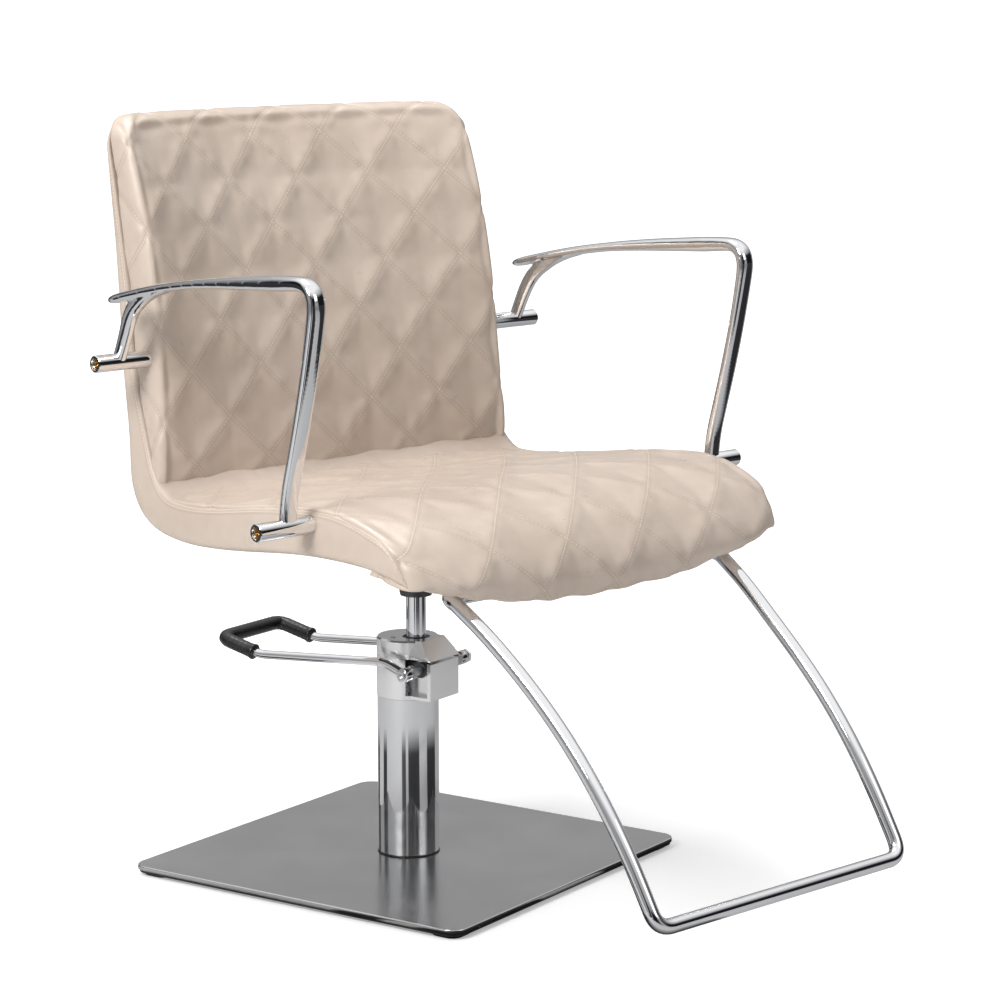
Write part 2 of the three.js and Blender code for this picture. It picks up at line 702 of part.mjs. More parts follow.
// The two soft solids are filled from the shell to the front of the chair.
function addCushions() {
  const foot = coverSheetBack + shellSheet + 2 * layerGap;
  const back = [
    ...inwards(foot, 0, creaseStation).map(([y, z], i) => [y, z + (i === creaseStation ? gap : 0)]),
    [128, creaseHeight + gap],
    [123, 480],
    [126, 540],
    [130, 600],
    [137, 665],
    [150, 730],
    [168, 786],
    [183, backTop - 24],
    [193, backTop - 4],
  ];
  const backSolid = hollowPanel(back, backHalfWidth);
  const rearTunnel = at(crankedBar(crossBarRadius + gap, backHalfWidth + 60), 0, rearBossBehind, rearBossHeight);
  add(seat, "back_cushion", cut(backSolid, rearTunnel), leather());

  const seatSide = [
    [122, creaseHeight - gap],
    ...inwards(foot, creaseStation, shellEnd).map(([y, z], i) => [y, z - (i === 0 ? gap : 0)]),
    [-280, 398],
    [-292, 378],
    [-304, 370],
    [-seatFront + 5, 384],
    [-seatFront, 408],
    [-seatFront + 12, 432],
    [-284, 448],
    [-240, 458],
    [-180, 464],
    [-100, 462],
    [-20, 455],
    [60, 450],
  ];
  const plan = new THREE.Shape([
    [backHalfWidth, 260],
    [-backHalfWidth, 260],
    [-seatHalfCrease, 110],
    [-seatHalfCrease - 12, 0],
    [-seatHalfMiddle, -frontBossAhead],
    [-seatHalfMiddle + 3, -250],
    [-seatHalfMiddle + 12, -288],
    [-seatHalfMiddle + 40, -seatFront + 6],
    [-seatHalfMiddle + 90, -seatFront],
    [seatHalfMiddle - 90, -seatFront],
    [seatHalfMiddle - 40, -seatFront + 6],
    [seatHalfMiddle - 12, -288],
    [seatHalfMiddle - 3, -250],
    [seatHalfMiddle, -frontBossAhead],
    [seatHalfCrease + 12, 0],
    [seatHalfCrease, 110],
  ].map(flat2));
  const column = new THREE.ExtrudeGeometry(plan, { depth: 300, bevelEnabled: false }).translate(0, 0, 300);
  const seatSolid = common(panel(seatSide, -400, 400), column);
  const frontTunnel = at(bar(crossBarRadius + gap, -400, 400), 0, -frontBossAhead, frontBossHeight);
  add(seat, "seat_cushion", cut(seatSolid, frontTunnel), leather());
}

// Tunnels through the soft solids hold two cross bars, whose threaded ends take the arm screws.
function addCrossBars() {
  const backHalf = backHalfWidth - 1;
  const seatHalf = seatHalfMiddle - 1;
  const bars = {
    back_cross_bar: [crankedBar(crossBarRadius, backHalf), backHalf, rearBossBehind, rearBossHeight],
    seat_cross_bar: [bar(crossBarRadius, -seatHalf, seatHalf), seatHalf, -frontBossAhead, frontBossHeight],
  };
  for (const [name, [blank, half, y, z]] of Object.entries(bars)) {
    const threads = [-1, 1].map((side) =>
      at(bar(armScrewRadius + gap, -armScrewGrip - 2, armScrewGrip + 2, 14), side * half, 0, 0));
    add(seat, name, at(cut(blank, ...threads), 0, y, z), zinc());
  }
}

// The rear bar follows the hollow of the back, with straight ends for the arm screws.
function crankedBar(radius, half) {
  const rings = [-half, -barBendOut, -barBendIn, barBendIn, barBendOut, half];
  const geometry = bar(radius, 0, rings.length - 1, 16, rings.length - 1);
  const places = geometry.attributes.position;
  for (let i = 0; i < places.count; i++) {
    const ring = Math.round(places.getX(i));
    places.setX(i, rings[ring]);
    if (ring === 2 || ring === 3) places.setY(i, places.getY(i) + barSetBack);
  }
  return geometry;
}

// ---- Arms ----

// One casting for the right arm: front leg, top bar with its rounded rear end, and rear strut.
function armCasting() {
  const main = curve([
    [armOut, -frontBossAhead, frontBossHeight],
    [armOut, -172, 512],
    [armOut, -186, 570],
    [armOut, -198, 625],
    [armOut, -206, 668],
    [armOut, -206, 688],
    [armOut, -192, 699],
    [armOut - 1, -160, 698.5],
    [armOut - 4, -80, 694.3],
    [armOut - 8, 0, 686],
    [armOut - 12, 80, 673],
    [armTipOut, armTipBehind, armTipHeight],
  ]);
  const bend = 0.52; // share of the path where the leg turns into the bar
  const ease = THREE.MathUtils.smoothstep;
  const mainReach = (t) => {
    const width = 10.4 + 0.9 * ease(t, bend - 0.2, bend) + 1.4 * ease(t, 0.75, 0.95);
    const height = 6.2 + 2 * ease(t, bend - 0.3, bend) - 3 * ease(t, bend + 0.05, 0.8);
    return [width, height];
  };
  const [tipWidth, tipHeight] = mainReach(1);
  const slope = Math.atan2(19, 88);
  const tip = new THREE.SphereGeometry(1, 10, 6)
    .scale(tipWidth, tipWidth, tipHeight)
    .rotateX(-slope)
    .translate(armTipOut, armTipBehind, armTipHeight);
  const strut = curve([
    [strutOut, rearBossBehind, rearBossHeight],
    [strutOut, 144, 602],
    [strutOut + strutLean * 0.06, 136, 621],
    [strutOut + strutLean * 0.22, 124, 640],
    [strutOut + strutLean * 0.56, 98, 658],
    [strutOut + strutLean, 28, 676],
  ]);
  const strutReach = (t) => [6.5 + 3 * ease(t, 0.2, 0.8), 5.2 + 3 * ease(t, 0, 0.5) - 4.5 * ease(t, 0.6, 1)];
  const bosses = armBosses().map(([inner, y, z]) => at(bar(bossRadius, inner, inner + bossLength, 18), 0, y, z));
  const bores = armBosses().flatMap(([inner, y, z]) => [
    at(bar(armScrewRadius + 0.4, inner - 1, inner + bossLength + 1, 14), 0, y, z),
    at(bar(bossRecessRadius, inner + bossLength - bossRecessDepth, inner + bossLength + 1, 14), 0, y, z),
  ]);
  const body = joined(ovalBar(main, mainReach, 24), tip, ovalBar(strut, strutReach, 7), ...bosses);
  return cut(body, ...bores);
}

// Inner end and axis of the front and rear boss.
function armBosses() {
  return [
    [frontBossIn, -frontBossAhead, frontBossHeight],
    [rearBossIn, rearBossBehind, rearBossHeight],
  ];
}

function mirrored(geometry) {
  const flipped = geometry.clone().scale(-1, 1, 1);
  const order = flipped.index.array;
  for (let i = 0; i < order.length; i += 3) [order[i + 1], order[i + 2]] = [order[i + 2], order[i + 1]];
  return flipped;
}

function addArms() {
  const right = armCasting();
  add(seat, "arm_right", right, chrome());
  add(seat, "arm_left", mirrored(right), chrome());
  const ends = { front: seatHalfMiddle - 1, rear: backHalfWidth - 1 };
  armBosses().forEach(([inner, y, z], i) => {
    const which = i === 0 ? "front" : "rear";
    const floor = inner + bossLength - bossRecessDepth + gap;
    const shank = bar(armScrewRadius, ends[which] - armScrewGrip, floor + 1, 14);
    const head = bar(armScrewHead, floor, floor + 4.5, 14);
    const socket = new THREE.CylinderGeometry(2.9, 2.9, 6, 6).rotateZ(Math.PI / 2).translate(floor + 4.5, 0, 0);
    const screw = at(cut(joined(shank, head), socket), 0, y, z);
    add(seat, "arm_screw_" + which + "_right", screw, brass());
    add(seat, "arm_screw_" + which + "_left", mirrored(screw), brass());
  });
}

// ---- Footrest ----

function footrestPath() {
  const bottom = [footHalfBottom, -footBottomAhead, footBottomHeight];
  const leg = [
    [footHalfTop, -footTopAhead - 26, footTopHeight - 7],
    [192, -358, footKneeHeight],
    [188.5, -429, 260],
    [187, -498, 180],
    [footHalfBottom + 0.2, -footBottomAhead + 9.4, footBottomHeight + 17.5],
  ];
  const vector = (p, side) => new THREE.Vector3(side * p[0], p[1], p[2]);
  const path = new THREE.CurvePath();
  const topCorner = [footHalfTop, -footTopAhead, footTopHeight];
  const topBack = [footHalfTop - 22, -footTopAhead, footTopHeight];
  const inner = [footTubeEnd, -footTopAhead, footTopHeight];
  const bottomIn = [footHalfBottom - 20, -footBottomAhead, footBottomHeight];
  path.add(new THREE.LineCurve3(vector(inner, -1), vector(topBack, -1)));
  path.add(new THREE.QuadraticBezierCurve3(vector(topBack, -1), vector(topCorner, -1), vector(leg[0], -1)));
  path.add(curve(leg.map(([x, y, z]) => [-x, y, z])));
  path.add(new THREE.QuadraticBezierCurve3(vector(leg[4], -1), vector(bottom, -1), vector(bottomIn, -1)));
  path.add(new THREE.LineCurve3(vector(bottomIn, -1), vector(bottomIn, 1)));
  path.add(new THREE.QuadraticBezierCurve3(vector(bottomIn, 1), vector(bottom, 1), vector(leg[4], 1)));
  path.add(curve([...leg].reverse()));
  path.add(new THREE.QuadraticBezierCurve3(vector(leg[0], 1), vector(topCorner, 1), vector(topBack, 1)));
  path.add(new THREE.LineCurve3(vector(topBack, 1), vector(inner, 1)));
  return path;
}

function addFootrest() {
  const sockets = [-1, 1].map((side) =>
    at(bar(footTube - 1.8, -footPlugDepth, footPlugDepth, 14), side * footTubeEnd, -footTopAhead, footTopHeight));
  add(seat, "footrest_tube", cut(rod(stopsAlong(footrestPath()), footTube, 10), ...sockets), chrome());

  for (const [name, side] of [["left", -1], ["right", 1]]) {
    const cap = bar(footTube, -3, 0, 14);
    const spigot = bar(footTube - 2.1, -0.5, footPlugDepth - 1, 14);
    const plug = joined(cap, spigot).translate(-gap, 0, 0);
    const turned = side < 0 ? plug.rotateZ(Math.PI) : plug;
    add(seat, "footrest_plug_" + name, at(turned, side * footTubeEnd, -footTopAhead, footTopHeight), rubber());

    const boardAt = (y) => undersideAt(y) - gap;
    const eyeTop = footTopHeight + footTube + gap + bracketSheet;
    const strap = panel([
      [-120, boardAt(-120)],
      [-120, boardAt(-120) - bracketSheet],
      [-184, boardAt(-184) - bracketSheet],
      [-footTopAhead, eyeTop - bracketSheet],
      [-footTopAhead, eyeTop],
      [-184, boardAt(-184)],
    ], -bracketWidth / 2, bracketWidth / 2);
    const eye = at(bar(footTube + gap + bracketSheet, -bracketWidth / 2, bracketWidth / 2, 18),
      0, -footTopAhead, footTopHeight);
    const tubeHole = at(bar(footTube + gap, -bracketWidth, bracketWidth, 18), 0, -footTopAhead, footTopHeight);
    const screwHole = post(3.3, -20, 20, 16).translate(0, -150, 0)
      .rotateX(-seatTilt).translate(0, 0, undersideHeight);
    const bracket = cut(joined(strap, eye), tubeHole, screwHole);
    add(seat, "footrest_bracket_" + name, at(bracket, side * bracketOut, 0, 0), satinSteel());

    const headTopZ = -2 * gap - bracketSheet;
    const screw = joined(post(5.5, headTopZ - 4, headTopZ, 14), post(3, headTopZ - 1, undersideBoardSheet - 1, 14));
    add(underside, "bracket_screw_" + name, at(screw, side * bracketOut, -150, 0), zinc());
  }
}

const build = [
  addBasePlate,
  addFeet,
  addColumn,
  addHead,
  addCap,
  addPedal,
  addCrank,
  addPlunger,
  addRam,
  addSeatSupport,
  addShell,
  addCushions,
  addCrossBars,
  addArms,
  addFootrest,
];
for (const step of build) step();

export default group;
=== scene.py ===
import json
import math

import bmesh
import bpy
import numpy as np
from mathutils import Matrix, Vector, noise


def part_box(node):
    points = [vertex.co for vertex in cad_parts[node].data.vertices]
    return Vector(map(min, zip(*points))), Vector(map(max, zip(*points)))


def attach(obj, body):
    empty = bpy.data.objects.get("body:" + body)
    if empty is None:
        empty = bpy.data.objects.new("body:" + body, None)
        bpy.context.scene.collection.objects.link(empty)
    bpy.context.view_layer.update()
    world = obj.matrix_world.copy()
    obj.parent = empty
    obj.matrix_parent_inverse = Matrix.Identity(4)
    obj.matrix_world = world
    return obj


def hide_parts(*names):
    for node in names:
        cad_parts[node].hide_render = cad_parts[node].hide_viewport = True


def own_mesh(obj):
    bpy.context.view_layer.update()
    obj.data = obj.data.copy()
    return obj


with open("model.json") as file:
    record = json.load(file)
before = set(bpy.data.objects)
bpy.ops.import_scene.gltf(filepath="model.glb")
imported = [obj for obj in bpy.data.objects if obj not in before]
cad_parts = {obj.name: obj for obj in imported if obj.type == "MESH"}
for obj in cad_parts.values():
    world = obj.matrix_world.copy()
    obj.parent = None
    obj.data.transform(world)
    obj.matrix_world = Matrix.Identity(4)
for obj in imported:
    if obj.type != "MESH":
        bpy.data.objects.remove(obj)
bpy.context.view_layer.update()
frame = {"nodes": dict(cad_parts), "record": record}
nodes = frame["nodes"]
scene = bpy.context.scene
mm = 0.001


# Camera
cameraSettings = {
    "place": (-2.341, -2.620, 1.029),
    "tilt": 80.17,  # degrees from straight down
    "turn": -43.33,
    "lens": 114.12,
}

cameraData = bpy.data.cameras.new("camera")
cameraData.lens = cameraSettings["lens"]
cameraData.sensor_width = 36
camera = bpy.data.objects.new("camera", cameraData)
camera.location = cameraSettings["place"]
camera.rotation_euler = (math.radians(cameraSettings["tilt"]), 0, math.radians(cameraSettings["turn"]))
scene.collection.objects.link(camera)
scene.camera = camera
scene.view_settings.view_transform = "Standard"


# Small maths
def ease(low, high, value):
    share = np.clip((value - low) / (high - low), 0, 1)
    return share * share * (3 - 2 * share)


def smoothCurve(points):
    # natural cubic spline through the points, spaced by their distances; takes shares from 0 to 1
    places = np.array(points, float)
    steps = np.linalg.norm(np.diff(places, axis=0), axis=1)
    knots = np.concatenate([[0], np.cumsum(steps)])
    count = len(places)
    system = np.eye(count)
    right = np.zeros_like(places)
    for i in range(1, count - 1):
        system[i, i - 1 : i + 2] = steps[i - 1], 2 * (steps[i - 1] + steps[i]), steps[i]
        slopeAfter = (places[i + 1] - places[i]) / steps[i]
        slopeBefore = (places[i] - places[i - 1]) / steps[i - 1]
        right[i] = 6 * (slopeAfter - slopeBefore)
    bends = np.linalg.solve(system, right)

    def at(share):
        where = np.clip(share, 0, 1) * knots[-1]
        i = np.clip(np.searchsorted(knots, where) - 1, 0, count - 2)
        step = steps[i][..., None]
        after = (where - knots[i])[..., None]
        before = step - after
        return (
            (bends[i] * before**3 + bends[i + 1] * after**3) / (6 * step)
            + (places[i] / step - bends[i] * step / 6) * before
            + (places[i + 1] / step - bends[i + 1] * step / 6) * after
        )

    return at, knots[-1]


def pairedCurves(first, second):
    # two lines drawn on the same stations, as one smooth curve in four numbers
    together = [tuple(a) + tuple(b) for a, b in zip(first, second)]
    at, _ = smoothCurve(together)
    return lambda share: (at(share)[..., :2], at(share)[..., 2:4])


# Shader helpers
def put(tree, socket, value):
    if isinstance(value, bpy.types.NodeSocket):
        tree.links.new(value, socket)
    else:
        socket.default_value = value


def calc(tree, operation, *values):
    node = tree.nodes.new("ShaderNodeMath")
    node.operation = operation
    for socket, value in zip(node.inputs, values):
        put(tree, socket, value)
    return node.outputs[0]


def plus(tree, first, second):
    return calc(tree, "ADD", first, second)


def times(tree, first, second):
    return calc(tree, "MULTIPLY", first, second)


def remap(tree, value, fromLow, fromHigh, toLow, toHigh):
    node = tree.nodes.new("ShaderNodeMapRange")
    for name, level in (("Value", value), ("From Min", fromLow), ("From Max", fromHigh),
                         ("To Min", toLow), ("To Max", toHigh)):
        put(tree, node.inputs[name], level)
    return node.outputs["Result"]


def blendColours(tree, share, first, second):
    node = tree.nodes.new("ShaderNodeMix")
    node.data_type = "RGBA"
    put(tree, node.inputs[0], share)
    put(tree, node.inputs[6], first)
    put(tree, node.inputs[7], second)
    return node.outputs[2]


def noiseAt(tree, vector, scale, detail=2.0, roughness=0.5):
    node = tree.nodes.new("ShaderNodeTexNoise")
    put(tree, node.inputs["Vector"], vector)
    put(tree, node.inputs["Scale"], scale)
    put(tree, node.inputs["Detail"], detail)
    put(tree, node.inputs["Roughness"], roughness)
    return node.outputs["Fac"]


def stretched(tree, vector, factors):
    node = tree.nodes.new("ShaderNodeMapping")
    put(tree, node.inputs["Vector"], vector)
    node.inputs["Scale"].default_value = factors
    return node.outputs["Vector"]


def bumped(tree, height, strength, distance):
    node = tree.nodes.new("ShaderNodeBump")
    put(tree, node.inputs["Height"], height)
    node.inputs["Strength"].default_value = strength
    node.inputs["Distance"].default_value = distance
    return node.outputs["Normal"]


number, arrow = "NodeSocketFloat", "NodeSocketVector"


def newGroup(name, inputs, outputs):
    tree = bpy.data.node_groups.new(name, "ShaderNodeTree")
    for label, kind, value in inputs:
        socket = tree.interface.new_socket(name=label, in_out="INPUT", socket_type=kind)
        if value is not None:
            socket.default_value = value
    for label, kind in outputs:
        tree.interface.new_socket(name=label, in_out="OUTPUT", socket_type=kind)
    entry = tree.nodes.new("NodeGroupInput")
    leave = tree.nodes.new("NodeGroupOutput")
    return tree, entry.outputs, leave.inputs


def useGroup(tree, group, **values):
    node = tree.nodes.new("ShaderNodeGroup")
    node.node_tree = group
    for name, value in values.items():
        put(tree, node.inputs[name], value)
    return node.outputs


def newObject(name, data):
    made = bpy.data.objects.new(name, data)
    scene.collection.objects.link(made)
    return made


def newMaterial(name, **constants):
    material = bpy.data.materials.new(name)
    material.use_nodes = True
    tree = material.node_tree
    shader = tree.nodes["Principled BSDF"]
    for label, value in constants.items():
        shader.inputs[label.replace("_", " ")].default_value = value
    coordinates = tree.nodes.new("ShaderNodeTexCoord")
    return material, tree, shader.inputs, coordinates.outputs["Object"]


# Shared effects
def makeHandling():
    # smudges and hairline scratches that change a metal's gloss
    group, given, out = newGroup("handling", [
        ("Vector", arrow, None),
        ("Scale", number, 12.0),
        ("Gloss", number, 0.05),
        ("Spread", number, 0.05),
    ], [("Roughness", number), ("Height", number), ("Tone", number)])
    smudge = noiseAt(group, given["Vector"], given["Scale"], 4.0, 0.6)
    fine = noiseAt(group, given["Vector"], times(group, given["Scale"], 40.0), 2.0)
    scratches = noiseAt(group, stretched(group, given["Vector"], (900, 60, 60)), 1.0, 1.0)
    scratch = remap(group, scratches, 0.68, 0.74, 0.0, 1.0)
    cloudy = remap(group, smudge, 0.35, 0.75, 0.0, 1.0)
    marks = plus(group, cloudy, times(group, scratch, 0.2))
    spread = times(group, given["Spread"], marks)
    put(group, out["Roughness"], plus(group, given["Gloss"], spread))
    put(group, out["Height"], plus(group, fine, times(group, scratch, -0.3)))
    put(group, out["Tone"], remap(group, smudge, 0.2, 0.8, 0.94, 1.03))
    return group


def makeHide():
    # leather: pebbled grain, pores, soft tone changes and a rubbed sheen
    group, given, out = newGroup("hide", [
        ("Vector", arrow, None),
        ("Grain", number, 900.0),
    ], [("Height", number), ("Tone", number), ("Rub", number)])
    wander = group.nodes.new("ShaderNodeVectorMath")
    wander.operation = "ADD"
    jitter = group.nodes.new("ShaderNodeTexNoise")
    put(group, jitter.inputs["Vector"], given["Vector"])
    jitter.inputs["Scale"].default_value = 300
    soften = group.nodes.new("ShaderNodeVectorMath")
    soften.operation = "SCALE"
    put(group, soften.inputs[0], jitter.outputs["Color"])
    soften.inputs["Scale"].default_value = 0.0012
    put(group, wander.inputs[0], given["Vector"])
    put(group, wander.inputs[1], soften.outputs[0])
    cells = group.nodes.new("ShaderNodeTexVoronoi")
    cells.feature = "DISTANCE_TO_EDGE"
    put(group, cells.inputs["Vector"], wander.outputs[0])
    put(group, cells.inputs["Scale"], given["Grain"])
    pebble = remap(group, cells.outputs["Distance"], 0.0, 0.25, 0.0, 1.0)
    creases = noiseAt(group, given["Vector"], 55.0, 5.0, 0.62)
    put(group, out["Height"], plus(group, times(group, pebble, 0.35), creases))
    broad = noiseAt(group, given["Vector"], 7.0, 3.0)
    mottle = noiseAt(group, given["Vector"], 60.0, 3.0)
    both = plus(group, times(group, broad, 0.65), times(group, mottle, 0.35))
    put(group, out["Tone"], both)
    put(group, out["Rub"], noiseAt(group, given["Vector"], 24.0, 4.0, 0.55))
    return group


def makeStitches():
    # a run of thread along whole numbers of Across, with stitches counted by Along, and painted shade
    # that darkens the leather beside the line
    group, given, out = newGroup("stitches", [
        ("Across", number, None),
        ("Along", number, None),
        ("Pitch", number, 0.0735),
        ("Stitch", number, 0.0045),
        ("Width", number, 0.0007),
    ], [("Thread", number), ("GrooveShade", number)])
    shifted = calc(group, "FRACT", plus(group, given["Across"], 0.5))
    offLine = calc(group, "ABSOLUTE", calc(group, "SUBTRACT", shifted, 0.5))
    away = times(group, offLine, given["Pitch"])
    beat = calc(group, "FRACT", calc(group, "DIVIDE", given["Along"], given["Stitch"]))
    dash = remap(group, calc(group, "ABSOLUTE", calc(group, "SUBTRACT", beat, 0.5)), 0.34, 0.4, 1.0, 0.0)
    line = remap(group, away, times(group, given["Width"], 0.5), given["Width"], 1.0, 0.0)
    put(group, out["Thread"], times(group, dash, line))
    # painted shade for the groove: 1 on the stitch line, fading to 0 four millimetres away
    put(group, out["GrooveShade"], remap(group, away, 0.0, 0.004, 1.0, 0.0))
    return group


roomGaps = {
    # each gap's two sides, as shares of a turn
    "gaps": ((0.06, 0.11), (0.125, 0.25), (0.33, 0.465), (0.71, 0.77), (0.84, 0.90)),
    "blur": 0.008,
}


def makeRoomBands():
    # how dark the room is in a direction: tall dark gaps between pale walls
    group, given, out = newGroup("roomBands", [
        ("Vector", arrow, None),
    ], [("Dark", number)])
    split = group.nodes.new("ShaderNodeSeparateXYZ")
    put(group, split.inputs[0], given["Vector"])
    bearing = calc(group, "ARCTAN2", split.outputs["Y"], split.outputs["X"])
    turn = plus(group, calc(group, "DIVIDE", bearing, math.tau), 0.5)
    ramp = group.nodes.new("ShaderNodeValToRGB")
    put(group, ramp.inputs[0], turn)
    stops = ramp.color_ramp.elements
    for stop, place in zip(stops, (0, 1)):
        stop.position, stop.color = place, (0, 0, 0, 1)
    blur = roomGaps["blur"]
    for low, high in roomGaps["gaps"]:
        for place, level in ((low - blur, 0), (low + blur, 1), (high - blur, 1), (high + blur, 0)):
            stops.new(place).color = (level, level, level, 1)
    put(group, out["Dark"], ramp.outputs[0])
    return group


handling = makeHandling()
roomBands = makeRoomBands()
hide = makeHide()
stitches = makeStitches()
print("shared effects ready")


# Finishes
def metalFinish(name, colour, gloss, spread, scale=12.0, bump=0.015, metallic=1.0):
    material, tree, shader, local = newMaterial(name, Metallic=metallic)
    worn = useGroup(tree, handling, Vector=local, Scale=scale, Gloss=gloss, Spread=spread)
    dull = tuple(0.8 * c for c in colour) + (1,)
    put(tree, shader["Base Color"], blendColours(tree, worn["Tone"], dull, tuple(colour) + (1,)))
    put(tree, shader["Roughness"], worn["Roughness"])
    put(tree, shader["Normal"], bumped(tree, worn["Height"], bump, 0.0002))
    return material


def brushedFinish(name, colour, gloss, turn):
    # satin sheet, brushed one way
    material, tree, shader, local = newMaterial(name, Metallic=1.0)
    mapping = tree.nodes.new("ShaderNodeMapping")
    mapping.inputs["Rotation"].default_value = (0, 0, math.radians(turn))
    put(tree, mapping.inputs["Vector"], local)
    brushed = noiseAt(tree, stretched(tree, mapping.outputs["Vector"], (6, 1400, 6)), 1.0, 3.0, 0.6)
    broad = noiseAt(tree, mapping.outputs["Vector"], 5.0, 3.0)
    worn = useGroup(tree, handling, Vector=local, Scale=9.0, Gloss=gloss, Spread=0.08)
    dark = tuple(0.86 * c for c in colour) + (1,)
    tone = plus(tree, times(tree, brushed, 0.6), times(tree, broad, 0.4))
    put(tree, shader["Base Color"], blendColours(tree, tone, dark, tuple(colour) + (1,)))
    rougher = times(tree, brushed, 0.06)
    put(tree, shader["Roughness"], plus(tree, worn["Roughness"], rougher))
    put(tree, shader["Normal"], bumped(tree, brushed, 0.05, 0.0003))
    return material


def dullFinish(name, colour, roughness, scale, strength):
    # moulded rubber, paint or cast iron: a fine tooth and a little dust in the tone
    material, tree, shader, local = newMaterial(name)
    tooth = noiseAt(tree, local, scale, 4.0, 0.6)
    dust = noiseAt(tree, local, 30.0, 4.0, 0.6)
    light = tuple(min(1, 1.5 * c + 0.01) for c in colour) + (1,)
    put(tree, shader["Base Color"], blendColours(tree, dust, tuple(colour) + (1,), light))
    put(tree, shader["Roughness"], remap(tree, dust, 0.3, 0.7, roughness - 0.08, roughness + 0.1))
    put(tree, shader["Normal"], bumped(tree, tooth, strength, 0.0004))
    return material


def woodFinish(name):
    material, tree, shader, local = newMaterial(name)
    grain = noiseAt(tree, stretched(tree, local, (8, 120, 120)), 1.0, 5.0, 0.6)
    dark, pale = (0.45, 0.3, 0.17, 1), (0.66, 0.49, 0.31, 1)
    put(tree, shader["Base Color"], blendColours(tree, grain, dark, pale))
    put(tree, shader["Roughness"], remap(tree, grain, 0.3, 0.7, 0.5, 0.7))
    put(tree, shader["Normal"], bumped(tree, grain, 0.3, 0.0004))
    return material


leatherColours = {
    "light": (0.54, 0.455, 0.385, 1),
    "deep": (0.48, 0.395, 0.325, 1),
    # painted shade colour for the stitch grooves
    "grooveShade": (0.30, 0.225, 0.17, 1),
    "thread": (0.62, 0.54, 0.46, 1),
}
quiltPitch = 104 * mm  # between stitch lines, along the width


def leatherFinish(name, quilted):
    material, tree, shader, local = newMaterial(name, Specular_IOR_Level=0.5, Coat_IOR=1.45)
    skin = useGroup(tree, hide, Vector=local, Grain=1000.0)
    colour = blendColours(tree, remap(tree, skin["Tone"], 0.35, 0.65, 0.0, 1.0),
                          leatherColours["deep"], leatherColours["light"])
    uvMap = tree.nodes.new("ShaderNodeUVMap")
    uvMap.uv_map = "panel"
    split = tree.nodes.new("ShaderNodeSeparateXYZ")
    put(tree, split.inputs[0], uvMap.outputs["UV"])
    u, v = split.outputs["X"], split.outputs["Y"]
    if quilted:
        rising = calc(tree, "DIVIDE", plus(tree, u, v), quiltPitch)
        falling = calc(tree, "DIVIDE", calc(tree, "SUBTRACT", u, v), quiltPitch)
        along = quiltPitch / math.sqrt(2)
        first, second = [
            useGroup(tree, stitches, Across=across, Along=times(tree, other, along), Pitch=along)
            for across, other in ((rising, falling), (falling, rising))
        ]
        thread = calc(tree, "MAXIMUM", first["Thread"], second["Thread"])
        grooveShade = calc(tree, "MAXIMUM", first["GrooveShade"], second["GrooveShade"])
    else:
        row = useGroup(tree, stitches, Across=v, Along=u, Pitch=1.0, Stitch=0.0042)
        thread, grooveShade = row["Thread"], row["GrooveShade"]
    # painted shade: the leather darkens towards the stitch lines, where the grooves fall in shade
    colour = blendColours(tree, times(tree, grooveShade, 0.4), colour, leatherColours["grooveShade"])
    put(tree, shader["Base Color"], blendColours(tree, thread, colour, leatherColours["thread"]))
    rubbed = remap(tree, skin["Rub"], 0.3, 0.7, 0.27, 0.42)
    put(tree, shader["Roughness"], plus(tree, rubbed, times(tree, thread, 0.3)))
    raised = plus(tree, skin["Height"], times(tree, thread, 2.0))
    put(tree, shader["Normal"], bumped(tree, raised, 0.22, 0.0007))
    return material


finishes = {
    "chrome": metalFinish("polishedChrome", (0.86, 0.865, 0.88), 0.03, 0.05),
    "satin_steel": brushedFinish("satinSteel", (0.8, 0.8, 0.8), 0.16, 12.5),
    "dark_steel": metalFinish("darkSteel", (0.12, 0.12, 0.125), 0.35, 0.2, 30.0, 0.2),
    "zinc": metalFinish("zincPlate", (0.62, 0.63, 0.64), 0.25, 0.15, 40.0, 0.06),
    "brass": metalFinish("brassPlate", (0.66, 0.46, 0.22), 0.18, 0.12, 40.0, 0.06),
    "rubber": dullFinish("blackRubber", (0.005, 0.005, 0.005), 0.3, 900, 0.1),
    "black_paint": dullFinish("blackPaint", (0.012, 0.012, 0.012), 0.5, 500, 0.2),
    "plywood": woodFinish("birchPly"),
}
castChrome = metalFinish("castChrome", (0.92, 0.92, 0.925), 0.16, 0.06, metallic=0.8)
quiltedLeather = leatherFinish("quiltedLeather", True)
plainLeather = leatherFinish("plainLeather", False)
print("finishes ready")


# CAD pieces that keep their shape: welded, with softened edges
edgeRounding = {"default": 0.5, "pedal_shaft": 0.3, "cap_screw": 0.2, "pump_head": 0.9, "head_cap": 0.9}

slotOf = {part["node"]: part["material_slot"] for part in frame["record"]["subparts"]}
for name, node in nodes.items():
    slotName = slotOf[name]
    material = plainLeather if slotName == "leather" else finishes[slotName]
    if name in ("pump_head", "head_cap"):
        material = castChrome
    node.data.materials.clear()
    node.data.materials.append(material)
    node.data.polygons.foreach_set("use_smooth", [True] * len(node.data.polygons))
    weld = node.modifiers.new("weld", "WELD")
    weld.merge_threshold = 0.00002
    flatten = node.modifiers.new("flatten", "DECIMATE")
    flatten.decimate_type = "DISSOLVE"
    flatten.angle_limit = math.radians(1)
    soften = node.modifiers.new("soften", "BEVEL")
    soften.width = edgeRounding.get(name, edgeRounding["default"]) * mm
    soften.segments = 2
    soften.limit_method = "ANGLE"
    soften.angle_limit = math.radians(32)
    weigh = node.modifiers.new("weigh", "WEIGHTED_NORMAL")
    weigh.weight = 100
print("CAD pieces finished")


